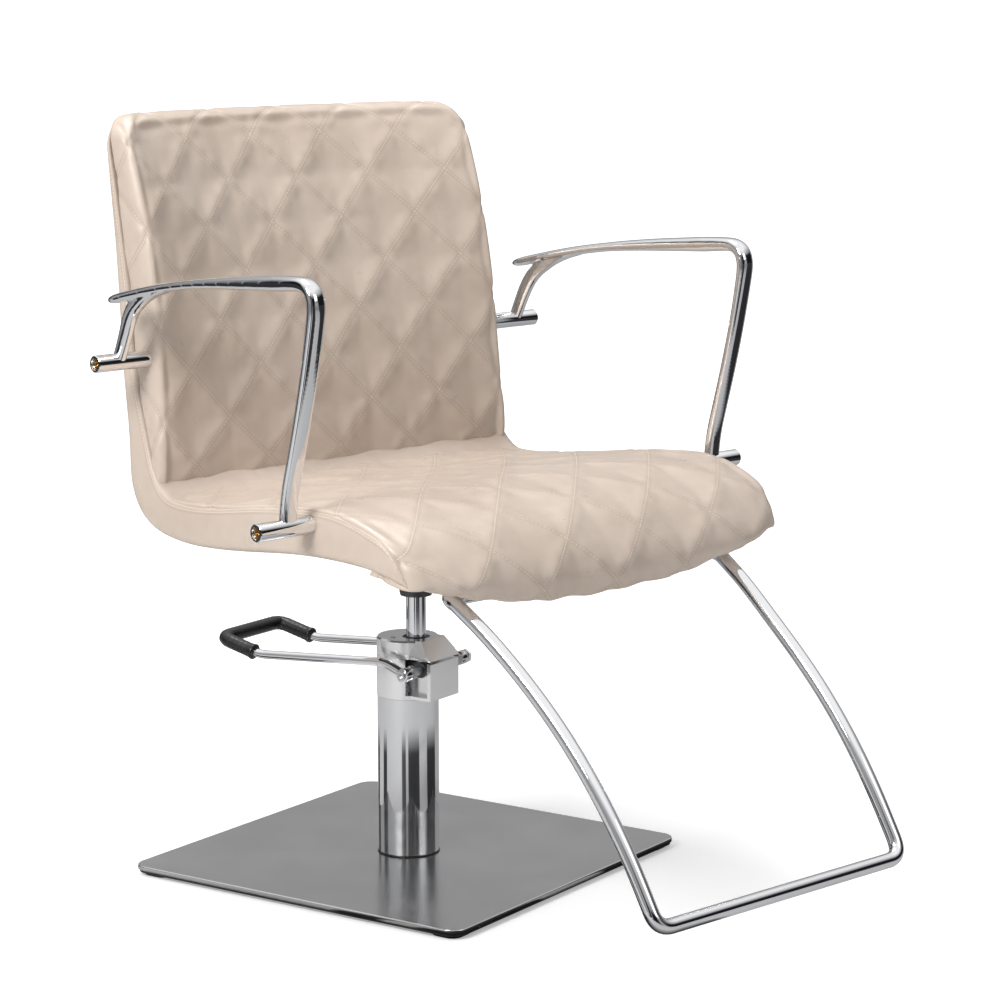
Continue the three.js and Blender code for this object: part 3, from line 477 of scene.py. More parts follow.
# Making pieces
def addPiece(name, bm, material, body, replaced=()):
    bmesh.ops.remove_doubles(bm, verts=bm.verts, dist=1e-6)
    bmesh.ops.recalc_face_normals(bm, faces=bm.faces)
    mesh = bpy.data.meshes.new(name)
    bm.to_mesh(mesh)
    bm.free()
    mesh.polygons.foreach_set("use_smooth", [True] * len(mesh.polygons))
    mesh.materials.append(material)
    piece = newObject(name, mesh)
    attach(piece, body)
    if replaced:
        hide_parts(*replaced)
    return piece


def latticeBlock(cells):
    # a closed block from -1 to 1, cut into a lattice with this many cells along x, y and z
    bm = bmesh.new()
    bmesh.ops.create_cube(bm, size=2)
    for axis, count in enumerate(cells):
        along = [e for e in bm.edges if abs(e.verts[0].co[axis] - e.verts[1].co[axis]) > 0.5]
        if count > 1:
            bmesh.ops.subdivide_edges(bm, edges=along, cuts=count - 1, use_grid_fill=True)
    return bm


def cornerRounded(across, along, halfAcross, halfAlong, radius):
    # moves points of a rectangle into one with round corners; also gives each one's depth inside
    qx = np.clip(across, -halfAcross + radius, halfAcross - radius)
    qy = np.clip(along, -halfAlong + radius, halfAlong - radius)
    dx, dy = across - qx, along - qy
    reach = np.maximum(np.abs(dx), np.abs(dy))
    length = np.maximum(np.hypot(dx, dy), 1e-9)
    corner = (np.abs(dx) > 1e-9) & (np.abs(dy) > 1e-9)
    scale = np.where(corner, reach / length, 1)
    fromSide, fromEnd = halfAcross - np.abs(across), halfAlong - np.abs(along)
    inset = np.where(corner, radius - reach, np.minimum(fromSide, fromEnd))
    nearSide = fromSide < fromEnd
    outX = np.where(corner, dx / length, np.where(nearSide, np.sign(across), 0))
    outY = np.where(corner, dy / length, np.where(nearSide, 0, np.sign(along)))
    return qx + dx * scale, qy + dy * scale, inset, outX, outY


def edgeRounded(inset, depth, thickness, frontRadius, rearRadius):
    # rounds the edge between a face and the side; gives the new inset and depth
    front = depth < thickness / 2
    radius = np.where(front, frontRadius, rearRadius)
    fromFace = np.where(front, depth, thickness - depth)
    dx = np.maximum(radius - inset, 0)
    dz = np.maximum(radius - fromFace, 0)
    length = np.maximum(np.hypot(dx, dz), 1e-9)
    both = (dx > 0) & (dz > 0)
    scale = np.where(both, radius / length, 1)
    newInset = np.where(both, radius - dx * scale, inset)
    newFace = np.where(both, radius - dz * scale, fromFace)
    return newInset, np.where(front, newFace, thickness - newFace)


def subdivided(piece):
    smoother = piece.modifiers.new("smooth", "SUBSURF")
    smoother.levels = smoother.render_levels = 1


def quiltDistance(u, v):
    # distance from the nearest stitch line
    rising, falling = (u + v) / quiltPitch, (u - v) / quiltPitch
    first = np.abs((rising + 0.5) % 1 - 0.5)
    second = np.abs((falling + 0.5) % 1 - 0.5)
    return np.minimum(first, second) * quiltPitch / math.sqrt(2)


def setPositions(bm, places):
    for vertex, place in zip(bm.verts, places):
        vertex.co = place


def positionsOf(bm):
    return np.array([v.co for v in bm.verts])


def normalsOf(bm):
    bm.normal_update()
    return np.array([v.normal for v in bm.verts])


def writePanelMap(bm, u, v):
    layer = bm.loops.layers.uv.new("panel")
    bm.verts.index_update()
    for face in bm.faces:
        for loop in face.loops:
            i = loop.vert.index
            loop[layer].uv = (u[i], v[i])


def puffed(piece, held, settings):
    # the cover swells between its stitch lines in a cloth simulation, and keeps that shape
    group = piece.vertex_groups.new(name="held")
    for i in np.nonzero(held > 0)[0]:
        group.add([int(i)], float(held[i]), "REPLACE")
    before = np.array([v.co for v in piece.data.vertices])
    cloth = piece.modifiers.new("cloth", "CLOTH")
    fabric = cloth.settings
    fabric.quality = settings["quality"]
    fabric.mass = settings["mass"]
    fabric.tension_stiffness = fabric.compression_stiffness = settings["stiffness"]
    fabric.shear_stiffness = settings["stiffness"]
    fabric.bending_stiffness = settings["bending"]
    fabric.use_pressure = True
    fabric.uniform_pressure_force = settings["pressure"]
    fabric.vertex_group_mass = "held"
    fabric.effector_weights.gravity = 0
    cloth.collision_settings.use_collision = False
    cloth.collision_settings.use_self_collision = False
    for frameNumber in range(1, settings["frames"] + 1):
        scene.frame_set(frameNumber)
    evaluated = piece.evaluated_get(bpy.context.evaluated_depsgraph_get())
    after = np.array([v.co for v in evaluated.data.vertices])
    piece.modifiers.remove(cloth)
    scene.frame_set(1)
    moved = after - before
    length = np.linalg.norm(moved, axis=1, keepdims=True)
    moved *= np.minimum(1, settings["cap"] / np.maximum(length, 1e-9))
    ends = np.array([e.vertices[:] for e in piece.data.edges])
    loose = (1 - held)[:, None]
    for _ in range(settings["settling"]):
        total = moved.copy()
        np.add.at(total, ends[:, 0], moved[ends[:, 1]])
        np.add.at(total, ends[:, 1], moved[ends[:, 0]])
        shared = 1 + np.bincount(ends.ravel(), minlength=len(moved))[:, None]
        moved = total / shared * loose
    piece.data.vertices.foreach_set("co", (before + moved).astype(np.float32).ravel())
    piece.data.update()
    print(piece.name, "swelled by at most", round(float(length.max()) * 1000, 1), "mm")


# Back cushion
backCushion = {
    "halfWidth": ((428, 263), (560, 259), (700, 257), (853, 255)),
    "front": ((133, 428), (124, 450), (121, 480), (122, 520), (124, 560), (127, 600), (132, 650),
              (140, 700), (149, 740), (162, 782), (176, 818), (191, 852)),
    "seam": ((142, 428), (144, 452), (146, 484), (160, 525), (170, 562), (176, 600), (182, 650),
             (192, 700), (199, 740), (207, 785), (215, 822), (224, 852)),
    # height, and how far the middle lies behind the sides
    "hollow": ((428, 0), (470, 5), (575, 18), (630, 26), (680, 34), (780, 42), (853, 42)),
    "crossing": 470,  # height of a crossing of stitch lines on the middle line
    "cells": (100, 84, 8),
    "middle": 258,  # half-width where the outline is drawn
    "thickness": 48,
    "cornerRadius": 34,
    "frontRadius": 24,
    "rearRadius": 5,
    "puff": 7.5,
    "crease": 2.6,
}
clothRun = {
    "quality": 5,
    "mass": 0.3,
    "stiffness": 15,
    "bending": 5,
    "pressure": 4,
    "frames": 12,
    "cap": 0.0025,
    "settling": 6,  # rounds of averaging that leave the broad swelling and no crumples
}


def plainCurve(pairs, value):
    xs, ys = zip(*pairs)
    return np.interp(value, xs, ys)


def lengthAlong(line, share):
    # distance along a line of evenly numbered points
    lengths = np.concatenate([[0], np.cumsum(np.linalg.norm(np.diff(line, axis=0), axis=1))])
    return np.interp(share, np.linspace(0, 1, len(line)), lengths)


def hollowAt(x, z):
    return plainCurve(backCushion["hollow"], z) * (1 - (x / backCushion["middle"]) ** 2)


def addBackCushion():
    settings = backCushion
    bm = latticeBlock(settings["cells"])
    a, b, c = positionsOf(bm).T
    curves = pairedCurves(settings["front"], settings["seam"])
    _, length = smoothCurve(settings["front"])
    halfWidth, thickness = settings["middle"], settings["thickness"]
    across, along, inset, outX, outY = cornerRounded(
        a * halfWidth, b * length / 2, halfWidth, length / 2, settings["cornerRadius"])
    depth = (c + 1) / 2 * thickness
    newInset, newDepth = edgeRounded(
        inset, depth, thickness, settings["frontRadius"], settings["rearRadius"])
    across = across - outX * (newInset - inset)
    along = along - outY * (newInset - inset)
    share = along / length + 0.5
    front, seam = curves(share)
    layer = (newDepth / thickness)[:, None]
    yz = front * (1 - layer) + seam * layer
    x = across * plainCurve(settings["halfWidth"], yz[:, 1]) / halfWidth
    bow = hollowAt(x, yz[:, 1])
    places = np.stack([x, yz[:, 0] + bow, yz[:, 1]], axis=1) * mm
    u = (a * halfWidth + np.sign(a) * np.where(np.abs(a) > 0.999, depth, 0)) * mm
    samples = np.linspace(0, 1, 200)
    heights = smoothCurve(settings["front"])[0](samples)[:, 1]
    startShare = np.interp(settings["crossing"], heights, samples)
    v = ((b / 2 + 0.5 - startShare) * length + np.sign(b) * np.where(np.abs(b) > 0.999, depth, 0)) * mm
    setPositions(bm, places)
    return bm, u, v, (a, b, c)


# Seat cushion
seatCushion = {
    "edge": ((146, 446), (101, 439), (43, 441), (-52, 453), (-142, 463), (-197, 463), (-236, 454),
             (-265, 441), (-282, 426), (-291, 411), (-296, 400), (-290, 396), (-271, 400), (-240, 407)),
    "centre": ((150, 447), (104, 449), (45, 452), (-50, 461), (-140, 470), (-200, 470), (-245, 461),
               (-280, 445), (-303, 424), (-317, 402), (-322, 379), (-313, 361), (-292, 357), (-252, 377)),
    "shoulder": (2, 7, 8, 8, 8, 8, 8, 7, 5, 3, 0, 0, 0, 0),  # height of the edge rounding
    "halfWidth": ((-340, 262), (-320, 264), (-300, 272), (-270, 280), (-200, 284), (-160, 284),
                  (0, 275), (119, 263), (160, 260)),
    "cells": (108, 112, 5),
    "thickness": 24,
    "puff": 6.5,
    "crease": 2.4,
    "patternStart": 64,  # from the rear edge to the first crossing on the middle line
    "stretch": 1.1,  # the seat's diamonds are this much larger than the back's
    "widest": 284,
}


def addSeatCushion():
    settings = seatCushion
    bm = latticeBlock(settings["cells"])
    a, b, c = positionsOf(bm).T
    share = 0.5 - b / 2  # from the rear edge forwards and round the lip
    lines = zip(settings["edge"], settings["centre"], settings["shoulder"])
    together = [e + m + (s,) for e, m, s in lines]
    at, _ = smoothCurve(together)
    values = at(share)
    edge, centre, shoulder = values[:, :2], values[:, 2:4], values[:, 4]
    ahead, behind = at(share + 0.002)[:, 2:4], at(share - 0.002)[:, 2:4]
    along = ahead - behind
    along /= np.maximum(np.linalg.norm(along, axis=1, keepdims=True), 1e-9)
    inward = np.stack([-along[:, 1], along[:, 0]], axis=1)
    t = np.abs(a)
    brow = np.sqrt(np.maximum(1 - t**7, 0))
    wide = 1 - t**2.4
    squareEnd = np.sqrt(np.maximum(1 - t**9, 0))
    y = edge[:, 0] + (centre[:, 0] - edge[:, 0]) * squareEnd
    z = edge[:, 1] + shoulder * brow + (centre[:, 1] - edge[:, 1] - shoulder) * wide
    depth = (c + 1) / 2 * settings["thickness"]
    y = y + inward[:, 0] * depth
    z = z + inward[:, 1] * depth
    x = a * (plainCurve(settings["halfWidth"], y) - 2.5 * ease(0, 6, depth))
    setPositions(bm, np.stack([x, y, z], axis=1) * mm)
    reached = lengthAlong(at(np.linspace(0, 1, 400))[:, 2:4], share)
    u = a * settings["widest"] / settings["stretch"] * mm
    v = (reached - settings["patternStart"]) / settings["stretch"] * mm
    return bm, u, v, (a, b, c)


def finishQuilted(name, built, settings, node):
    bm, u, v, (a, b, c) = built
    away = quiltDistance(u, v)
    writePanelMap(bm, u, v)
    rim = np.minimum(1 - np.abs(a), 1 - np.abs(b))
    facesOut = c < -0.999
    ramp = ease(0.0, 0.06, rim) * facesOut
    normals = normalsOf(bm)
    places = positionsOf(bm)
    half = quiltPitch / 2 / math.sqrt(2)
    swell = np.sqrt(np.clip(1 - (1 - np.clip(away / half, 0, 1)) ** 2, 0, 1))
    places = places + normals * (swell * settings["puff"] * mm * ramp)[:, None]
    setPositions(bm, places)
    piece = addPiece(name, bm, quiltedLeather, "seat", [node])
    held = np.where(away < 0.0012, 1.0, 0.0)
    held = np.maximum(held, 1 - ramp)
    puffed(piece, held, clothRun)
    deepen(piece, settings)
    subdivided(piece)
    return piece


def deepen(piece, settings):
    # presses the stitch lines in and adds the small puckers beside them
    mesh = piece.data
    count = len(mesh.vertices)
    u, v = np.zeros(count), np.zeros(count)
    layer = mesh.uv_layers["panel"].data
    for loop in mesh.loops:
        u[loop.vertex_index], v[loop.vertex_index] = layer[loop.index].uv
    away = quiltDistance(u, v)
    places = np.array([p.co for p in mesh.vertices])
    normals = np.array([p.normal for p in mesh.vertices])
    pucker = np.array([noise.noise(Vector(p) * 90) for p in places])
    near = np.exp(-((away / 0.011) ** 2))
    groove = np.exp(-((away / 0.003) ** 2)) * settings["crease"] * mm
    shift = -groove + pucker * near * 0.0011
    places = places + normals * shift[:, None]
    mesh.vertices.foreach_set("co", places.astype(np.float32).ravel())
    mesh.update()


# Shell cover: rear of the back, bend, side bands and the seat's underside edge
shellCover = {
    "outer": ((224, 846), (218, 781), (211, 715), (205, 649), (200, 583), (194, 535), (187, 484),
              (178, 440), (150, 408), (98, 394), (37, 394), (-48, 402), (-136, 411), (-216, 412),
              (-255, 408), (-280, 402), (-294, 396)),
    "inner": ((221, 845), (206, 778), (193, 712), (182, 648), (176, 583), (165, 540), (148, 490),
              (134, 462), (118, 445), (92, 438), (38, 440), (-50, 452.5), (-140, 462.5), (-205, 461),
              (-245, 450), (-272, 436), (-292, 405)),
    "halfWidth": (254, 255, 256, 257, 258, 259, 261, 264, 266, 268, 273, 279, 284, 284, 282, 279, 272),
    "cells": (60, 130, 8),
    "rearRadius": 9,
    "seamRadius": 3,
    "topCorner": 32,
    "stitchRow": 5,  # from the seam
}


def addShellCover():
    settings = shellCover
    bm = latticeBlock(settings["cells"])
    a, b, c = positionsOf(bm).T
    share = 0.5 - b / 2
    lines = zip(settings["outer"], settings["inner"], settings["halfWidth"])
    together = [o + i + (w,) for o, i, w in lines]
    at, _ = smoothCurve(together)
    values = at(share)
    outer, inner, half = values[:, :2], values[:, 2:4], values[:, 4]
    band = np.linalg.norm(inner - outer, axis=1)
    radius, high = settings["topCorner"], settings["outer"][0][1]
    above = np.clip(outer[:, 1] - (high - radius), 0, radius)
    half = half - (radius - np.sqrt(radius**2 - above**2))
    depth = (c + 1) / 2 * band  # from the outer face towards the seam
    fromEdge = (1 - np.abs(a)) * half
    rear = np.minimum(settings["rearRadius"], band / 2)
    seam = np.minimum(settings["seamRadius"], band / 2)
    newInset, newDepth = edgeRounded(fromEdge, depth, band, rear, seam)
    x = np.sign(a) * (half - newInset)
    layer = (newDepth / np.maximum(band, 1e-6))[:, None]
    yz = outer * (1 - layer) + inner * layer
    bulge = 1.8 * np.sin(np.pi * np.clip(layer[:, 0], 0, 1)) * (np.abs(a) > 0.999)
    x = x + np.sign(a) * bulge
    bow = hollowAt(x, yz[:, 1]) * ease(425, 470, yz[:, 1])
    crown = 5 * (1 - a**2) * (c < 0) * ease(430, 560, yz[:, 1])
    # the underside is let in round the black board
    board = ease(60, 85, 290 - np.abs(x)) * ease(-205, -180, yz[:, 0])
    flat = board * (1 - ease(430, 440, yz[:, 1])) * (c < 0)
    setPositions(bm, np.stack([x, yz[:, 0] + bow + crown, yz[:, 1] + 3 * flat], axis=1) * mm)
    reached = lengthAlong(at(np.linspace(0, 1, 400))[:, :2], share)
    side = np.abs(a) > 0.999
    v = np.where(side, band - newDepth - settings["stitchRow"], 400) * mm
    writePanelMap(bm, reached * mm, v)
    piece = addPiece("shellCover", bm, plainLeather, "seat", ["back_cover"])
    subdivided(piece)


finishQuilted("backCushion", addBackCushion(), backCushion, "back_cushion")
finishQuilted("seatCushion", addSeatCushion(), seatCushion, "seat_cushion")
addShellCover()
print("upholstery ready")


# Tubes and bars
def tubeAlong(bm, points, radius, sides=32):
    # round tube swept along a line of points
    line = [Vector(p) for p in points]
    before = None
    forward = (line[1] - line[0]).normalized()
    side = forward.orthogonal().normalized()
    for i, place in enumerate(line):
        if i < len(line) - 1:
            ahead = (line[i + 1] - place).normalized()
        else:
            ahead = (place - line[i - 1]).normalized()
        back = (place - line[i - 1]).normalized() if i else ahead
        along = (ahead + back).normalized()
        side = (side - side.project(along)).normalized()
        turn = Matrix((side, along.cross(side), along)).transposed().to_4x4()
        size = radius[i] if hasattr(radius, "__len__") else radius
        ring = Matrix.Translation(place) @ turn
        made = bmesh.ops.create_circle(bm, segments=sides, radius=size, matrix=ring)
        edges = list({e for v in made["verts"] for e in v.link_edges})
        if before:
            bmesh.ops.bridge_loops(bm, edges=before + edges)
        else:
            bmesh.ops.contextual_create(bm, geom=edges)
        before = edges
    last = [e for e in before if len(e.link_faces) < 2]
    bmesh.ops.contextual_create(bm, geom=last)


def roundCorner(start, corner, end, shares):
    return [start * (1 - t) ** 2 + corner * 2 * t * (1 - t) + end * t**2 for t in shares]


def bentLine(points, radius, step=8):
    # corner points joined by straight runs and round bends
    corners = [Vector(p) for p in points]
    line = [corners[0]]
    for before, corner, after in zip(corners, corners[1:], corners[2:]):
        start = corner + (before - corner).normalized() * radius
        end = corner + (after - corner).normalized() * radius
        line += roundCorner(start, corner, end, [i / step for i in range(step + 1)])
    return line + [corners[-1]]


# the base stands turned and a little off the ram's axis
baseFrame = Matrix.Translation((-0.0025323, 0.0114227, 0)) @ Matrix.Rotation(math.radians(12.5), 4, "Z")


def atBase(bm):
    bmesh.ops.transform(bm, matrix=baseFrame, verts=bm.verts)


def softened(bm, edges, offset, segments):
    bmesh.ops.bevel(bm, geom=edges, offset=offset * mm, affect="EDGES",
                    segments=segments, profile=0.5, material=-1)


def roundTurned(bm, profile, steps=96):
    # a closed profile of (radius, height) turned about an upright axis
    verts = [bm.verts.new((r * mm, 0, h * mm)) for r, h in profile]
    edges = [bm.edges.new((verts[i], verts[(i + 1) % len(verts)])) for i in range(len(verts))]
    bmesh.ops.spin(bm, geom=verts + edges, cent=(0, 0, 0), axis=(0, 0, 1), angle=math.tau,
                   steps=steps, use_merge=True)


# Base, column and ram
basePlate = {"side": 450, "corner": 20, "skirt": 5, "top": 12, "edge": 1.2}
column = {"radius": 35, "inner": 33, "low": 13.5, "high": 195.7}
ramRod = {"radius": 11.3, "low": 94, "high": 366, "edge": 0.5}


def addBaseCover():
    bm = bmesh.new()
    bmesh.ops.create_cube(bm, size=1)
    low, high = (basePlate["top"] - basePlate["skirt"]) * mm, basePlate["top"] * mm
    size = basePlate["side"] * mm
    bmesh.ops.scale(bm, vec=(size, size, high - low), verts=bm.verts)
    bmesh.ops.translate(bm, vec=(0, 0, (high + low) / 2), verts=bm.verts)
    upright = [e for e in bm.edges if abs(e.verts[0].co.z - e.verts[1].co.z) > 1e-4]
    softened(bm, upright, basePlate["corner"], 12)
    rim = [e for e in bm.edges if min(v.co.z for v in e.verts) > high - 1e-5]
    softened(bm, rim, basePlate["edge"], 3)
    atBase(bm)
    piece = addPiece("baseCover", bm, finishes["satin_steel"], "base", ["base_cover"])
    piece.data.polygons.foreach_set("use_smooth", [len(p.vertices) < 12 for p in piece.data.polygons])


def addColumn():
    bm = bmesh.new()
    r, inner, low, high = column["radius"], column["inner"], column["low"], column["high"]
    roundTurned(bm, [(inner, low), (r - 0.6, low), (r, low + 0.6), (r, high), (inner, high)], steps=128)
    atBase(bm)
    sharpen(addPiece("columnTube", bm, finishes["chrome"], "base", ["column_tube"]))
    bm = bmesh.new()
    r, low, high, edge = ramRod["radius"], ramRod["low"], ramRod["high"], ramRod["edge"]
    middle = 0.01  # keeps the profile off the axis
    roundTurned(bm, [(middle, low), (r - edge, low), (r, low + edge), (r, high - edge),
                     (r - edge, high), (middle, high)])
    sharpen(addPiece("ramRod", bm, finishes["chrome"], "seat", ["ram"]))


def sharpen(piece, angle=35):
    # smooth faces with crisp edges between them
    mesh = piece.data
    bm = bmesh.new()
    bm.from_mesh(mesh)
    for edge in bm.edges:
        edge.smooth = len(edge.link_faces) == 2 and edge.calc_face_angle(0) < math.radians(angle)
    bm.to_mesh(mesh)
    bm.free()
    return piece


addBaseCover()
addColumn()
print("base ready")


# Pedal
pedal = {
    "half": 54,
    "pivotAhead": 35,
    "pivotHeight": 232,
    "rod": 5,
    "eye": 8,
    "eyeLength": 12,
    "sleeve": 8.2,
    "sleeveFrom": (177.5, 231.3),  # distance behind the column, height
    "tip": (227, 243),
    "rodBend": 11,
    "sleeveBend": 14,
}


def addPedal():
    half, height = pedal["half"], pedal["pivotHeight"]
    left = [(-half, -pedal["pivotAhead"], height), (-half, -7, height + 11), (-half, 5, height + 10.5),
            (-half, 172, 230), (-half, *pedal["tip"])]
    route = [Vector(p) * mm for p in left] + [Vector((-x, y, z)) * mm for x, y, z in reversed(left)]
    bm = bmesh.new()
    tubeAlong(bm, bentLine(route, pedal["rodBend"] * mm), pedal["rod"] * mm, 28)
    for side in (-1, 1):
        middle = Vector((side * half, -pedal["pivotAhead"], height)) * mm
        eye = Matrix.Translation(middle) @ Matrix.Rotation(math.pi / 2, 4, "Y")
        radius = pedal["eye"] * mm
        made = bmesh.ops.create_cone(bm, cap_ends=True, segments=40, radius1=radius, radius2=radius,
                                     depth=pedal["eyeLength"] * mm, matrix=eye)
        edges = {e for v in made["verts"] for e in v.link_edges}
        softened(bm, [e for e in edges if any(len(f.verts) > 8 for f in e.link_faces)], 1.2, 3)
    atBase(bm)
    sharpen(addPiece("pedalRod", bm, finishes["chrome"], "pedal", ["pedal_rod"]))

    bm = bmesh.new()
    first, tip = pedal["sleeveFrom"], pedal["tip"]
    turns = [(-half, *first), (-half, *tip), (half, *tip), (half, *first)]
    line = bentLine([Vector(p) * mm for p in turns], pedal["sleeveBend"] * mm, 12)
    dense = []
    for here, there in zip(line, line[1:]):
        count = max(1, int((there - here).length / (2 * mm)))
        dense += [here.lerp(there, i / count) for i in range(count)]
    dense.append(line[-1])
    radii = []
    for i in range(len(dense)):
        fromEnd = min(i, len(dense) - 1 - i)
        flare = 1.1 * math.exp(-(((fromEnd - 1.2) / 1.6) ** 2))
        ripple = 0.12 * math.sin(i * 1.9)
        radii.append((pedal["sleeve"] + flare + ripple - 1.5 * math.exp(-fromEnd * 3)) * mm)
    tubeAlong(bm, dense, radii, 28)
    atBase(bm)
    addPiece("pedalGrip", bm, finishes["rubber"], "pedal", ["pedal_grip"])


pumpSpring = {"wire": 0.7, "turns": 4, "stroke": 12.2}


def addPumpSpring():
    # a coil of wire standing on the pump head, built at one length; the real spring shortens as the crank
    # presses the plunger down
    low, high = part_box("plunger_spring")
    wire = pumpSpring["wire"] * mm
    centre = (low + high) / 2
    coil = (high.x - low.x) / 2 - wire
    count = pumpSpring["turns"] * 24
    points = []
    for i in range(count + 1):
        angle = math.tau * i / 24
        rise = low.z + wire + (high.z - low.z - 2 * wire) * i / count
        points.append((centre.x + coil * math.cos(angle), centre.y + coil * math.sin(angle), rise))
    bm = bmesh.new()
    tubeAlong(bm, points, wire, 10)
    piece = addPiece("pumpSpring", bm, finishes["zinc"], "base", ["plunger_spring"])
    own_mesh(piece)


addPedal()
addPumpSpring()
print("pedal ready")


# Footrest
footrest = {
    "tube": 8,
    "leg": ((198, -283, 371), (195, -320, 348), (191.6, -358, 320), (188.5, -429, 260), (187, -484, 200),
            (185.8, -527, 140), (185.4, -549, 104)),
    "corner": (185.4, -558.4, 86.5),
    "topCorner": (198, -262, 377),
    "topEnd": 128,
    "bend": 21,
    "topBend": 22,
}


def addFootrest():
    at, _ = smoothCurve(footrest["leg"])
    leg = [Vector(p) for p in at(np.linspace(0, 1, 40))]
    corner, top = Vector(footrest["corner"]), Vector(footrest["topCorner"])
    bottomIn = corner - Vector((footrest["bend"], 0, 0))
    topIn = top - Vector((footrest["topBend"], 0, 0))
    bend = roundCorner(leg[-1], corner, bottomIn, np.linspace(0.12, 1, 10))
    topBend = roundCorner(topIn, top, leg[0], np.linspace(0, 0.88, 9))
    right = [Vector((footrest["topEnd"], top.y, top.z))] + topBend + leg + bend
    left = [Vector((-p.x, p.y, p.z)) for p in reversed(right)]
    bm = bmesh.new()
    tubeAlong(bm, [p * mm for p in right + left], footrest["tube"] * mm, 40)
    sharpen(addPiece("footrestTube", bm, finishes["chrome"], "seat", ["footrest_tube"]))


addFootrest()
print("footrest ready")


# Arms
arm = {
    "bar": ((316.5, -158, 448.5), (316.5, -162, 480), (316.5, -170, 512), (316.5, -186, 572),
            (316.5, -198, 625), (316.5, -205, 663), (316.5, -206.5, 680), (316.5, -203, 692),
            (316.5, -194, 699), (316.3, -180, 700.5), (315.5, -155, 699), (312.5, -80, 693.6),
            (308.5, 0, 686), (304.5, 80, 673), (301, 157, 655.5)),
    # half-widths and half-depths are given by the share of the way along
    "halfWide": ((0, 10.2), (0.35, 10.4), (0.52, 11.2), (0.8, 11.0), (0.95, 12.2), (1, 12.4)),
    "halfDeep": ((0, 6.2), (0.3, 6.3), (0.42, 7.4), (0.5, 8.6), (0.6, 7.6), (0.75, 5.4),
                 (0.9, 5.2), (1, 5.4)),
    "strut": ((297, 151, 589), (297, 144, 603), (297.5, 135, 622), (300, 122, 644),
              (303, 100, 661), (306, 50, 676)),
    "strutWide": ((0, 6.2), (0.3, 6.6), (0.6, 8), (1, 9)),
    "strutDeep": ((0, 7.5), (0.3, 8.6), (0.6, 8.6), (0.85, 5), (1, 3.5)),
    "voxel": 1.1,
    "bossRadius": 9.5,
    "bossLength": 73,
    "bore": 4.6,
    "recess": 6.6,
    "recessDepth": 7,
    "front": (285, -158, 448.5),
    "rear": (255.5, 151, 589),
}


def castBar(bm, path, wide, deep, steps, roundEnd=False):
    # oval bar with flattened faces along a curve that runs close to a YZ plane
    at, _ = smoothCurve(path)
    blank = bmesh.new()
    bmesh.ops.create_cone(blank, cap_ends=True, segments=28, radius1=1, radius2=1, depth=1)
    upright = [e for e in blank.edges if abs(e.verts[0].co.z - e.verts[1].co.z) > 0.5]
    bmesh.ops.subdivide_edges(blank, edges=upright, cuts=steps - 1, use_grid_fill=True)
    for v in blank.verts:
        t = min(max(v.co.z + 0.5, 0), 1)
        centre = at(np.array(t))
        along = at(np.array(min(t + 0.01, 1))) - at(np.array(max(t - 0.01, 0)))
        up = Vector((1, 0, 0)).cross(Vector(along)).normalized()
        angle = math.atan2(v.co.y, v.co.x)
        cosine, sine = math.cos(angle), math.sin(angle)
        power = 0.78  # below 1 squares the section a little
        offX = math.copysign(abs(cosine) ** power, cosine) * plainCurve(wide, t)
        offUp = math.copysign(abs(sine) ** power, sine) * plainCurve(deep, t)
        tip = math.sqrt(max(0.0, 1 - max(0.0, (t - 0.962) / 0.038) ** 2)) if roundEnd else 1
        offX *= max(tip, 0.02)
        offUp *= max(tip, 0.05)
        v.co = (Vector(centre) + Vector((1, 0, 0)) * offX + up * offUp) * mm
    bmesh.ops.recalc_face_normals(blank, faces=blank.faces)
    joinInto(bm, blank)


def joinInto(bm, other):
    scratch = bpy.data.meshes.new("scratch")
    other.to_mesh(scratch)
    other.free()
    bm.from_mesh(scratch)
    bpy.data.meshes.remove(scratch)


def addArms():
    bm = bmesh.new()
    castBar(bm, arm["bar"], arm["halfWide"], arm["halfDeep"], 150, True)
    castBar(bm, arm["strut"], arm["strutWide"], arm["strutDeep"], 40)
    mesh = bpy.data.meshes.new("armCasting")
    bm.to_mesh(mesh)
    bm.free()
    blank = newObject("armCasting", mesh)
    remesh = blank.modifiers.new("fuse", "REMESH")
    remesh.mode = "VOXEL"
    remesh.voxel_size = arm["voxel"] * mm
    fused = blank.modifiers.new("flow", "SMOOTH")
    fused.factor = 0.5
    fused.iterations = 22
    evaluated = blank.evaluated_get(bpy.context.evaluated_depsgraph_get())
    cast = bpy.data.meshes.new_from_object(evaluated)
    bpy.data.objects.remove(blank)
    for name, node, side in (("armRight", "arm_right", 1), ("armLeft", "arm_left", -1)):
        bm = bmesh.new()
        bm.from_mesh(cast)
        for inner, y, z in (arm["front"], arm["rear"]):
            addBoss(bm, inner, y, z)
        bmesh.ops.scale(bm, vec=(side, 1, 1), verts=bm.verts)
        sharpen(addPiece(name, bm, finishes["chrome"], "seat", [node]), 40)


def addBoss(bm, inner, y, z):
    # round boss with a softened inner end and a recess for the screw at the outer end
    length, radius = arm["bossLength"], arm["bossRadius"]
    turned = bmesh.new()
    bore, recess, floor = arm["bore"], arm["recess"], length - arm["recessDepth"]
    profile = [(bore, 0), (radius - 1.6, 0), (radius - 0.5, 0.5), (radius, 1.8), (radius, length - 0.8),
               (radius - 0.8, length), (recess + 0.3, length), (recess, length - 0.4),
               (recess, floor), (bore, floor)]
    roundTurned(turned, profile, steps=48)
    turn = Matrix.Translation((inner * mm, y * mm, z * mm)) @ Matrix.Rotation(math.pi / 2, 4, "Y")
    bmesh.ops.transform(turned, matrix=turn, verts=turned.verts)
    joinInto(bm, turned)


addArms()
print("arms ready")


# Floor, world and lights
floorSettings = {"reach": 60, "colour": (0.86, 0.86, 0.86, 1), "nearGlow": 0.35}


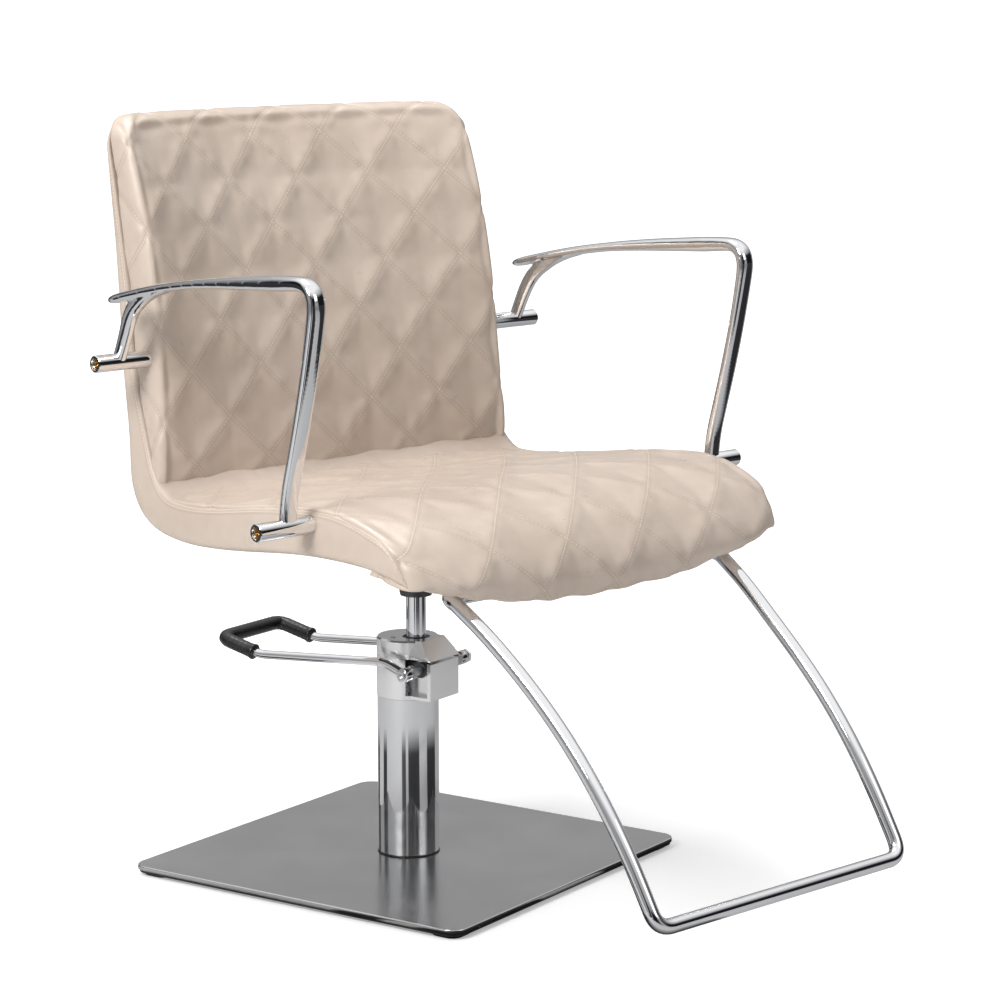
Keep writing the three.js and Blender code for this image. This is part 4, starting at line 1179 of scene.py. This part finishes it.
def addFloor():
    bm = bmesh.new()
    bmesh.ops.create_grid(bm, x_segments=1, y_segments=1, size=floorSettings["reach"])
    mesh = bpy.data.meshes.new("floor")
    bm.to_mesh(mesh)
    bm.free()
    material, tree, shader, local = newMaterial("paleFloor", Roughness=0.7, Specular_IOR_Level=0.2)
    away = tree.nodes.new("ShaderNodeVectorMath")
    away.operation = "LENGTH"
    put(tree, away.inputs[0], local)
    bands = useGroup(tree, roomBands, Vector=local)
    lightPath = tree.nodes.new("ShaderNodeLightPath")
    glossy = lightPath.outputs["Is Glossy Ray"]
    near = remap(tree, away.outputs["Value"], 0.55, 0.85, 1.0, 0.0)
    far = remap(tree, away.outputs["Value"], 0.9, 1.4, 0.0, 1.0)
    shown = times(tree, bands["Dark"], calc(tree, "MAXIMUM", near, far))
    dark = times(tree, calc(tree, "MAXIMUM", shown, 0.55), glossy)
    mottle = noiseAt(tree, local, 3.0, 2.0)
    pale = blendColours(tree, mottle, (0.82, 0.82, 0.82, 1), floorSettings["colour"])
    put(tree, shader["Base Color"], blendColours(tree, dark, pale, (0.01, 0.01, 0.012, 1)))
    glow = remap(tree, away.outputs["Value"], 0.7, 3.5, floorSettings["nearGlow"], 1.0)
    direct = plus(tree, times(tree, lightPath.outputs["Is Camera Ray"], 0.85), 0.15)
    seen = times(tree, direct, calc(tree, "SUBTRACT", 1.0, dark))
    shader["Emission Color"].default_value = (1, 1, 1, 1)
    put(tree, shader["Emission Strength"], times(tree, glow, seen))
    mesh.materials.append(material)
    floor = newObject("floor", mesh)


def addWorld():
    # a white room with dark gaps between its soft walls, as polished metal sees it
    world = bpy.data.worlds.new("studio")
    world.use_nodes = True
    scene.world = world
    tree = world.node_tree
    background = tree.nodes["Background"]
    coordinates = tree.nodes.new("ShaderNodeTexCoord")
    split = tree.nodes.new("ShaderNodeSeparateXYZ")
    put(tree, split.inputs[0], coordinates.outputs["Generated"])
    bands = useGroup(tree, roomBands, Vector=coordinates.outputs["Generated"])
    low = remap(tree, split.outputs["Z"], 0.75, 0.35, 0.0, 1.0)
    walls = blendColours(tree, bands["Dark"], (0.32, 0.32, 0.325, 1), (0.01, 0.01, 0.012, 1))
    seen = blendColours(tree, low, (1.0, 1.0, 1.0, 1), walls)
    lightPath = tree.nodes.new("ShaderNodeLightPath")
    glossy = lightPath.outputs["Is Glossy Ray"]
    plain = blendColours(tree, glossy, (0.33, 0.33, 0.34, 1), seen)
    shown = blendColours(tree, lightPath.outputs["Is Camera Ray"], plain, (1, 1, 1, 1))
    put(tree, background.inputs["Color"], shown)
    background.inputs["Strength"].default_value = 1.0


lamps = {
    "keyLamp": ((-2.7, -0.6, 2.3), 1.1, 92),
    "fillLamp": ((0.6, -3.4, 2.2), 1.6, 12),
    "topLamp": ((0.1, 0.5, 3.2), 1.2, 64),
}


def addLamps():
    for name, (place, size, power) in lamps.items():
        lamp = bpy.data.lights.new(name, "AREA")
        lamp.energy = power
        lamp.size = size
        holder = newObject(name, lamp)
        holder.location = place
        holder.rotation_euler = (Vector((0, 0, 0.5)) - Vector(place)).to_track_quat("-Z", "Y").to_euler()


addFloor()
addWorld()
addLamps()
print("stage ready")
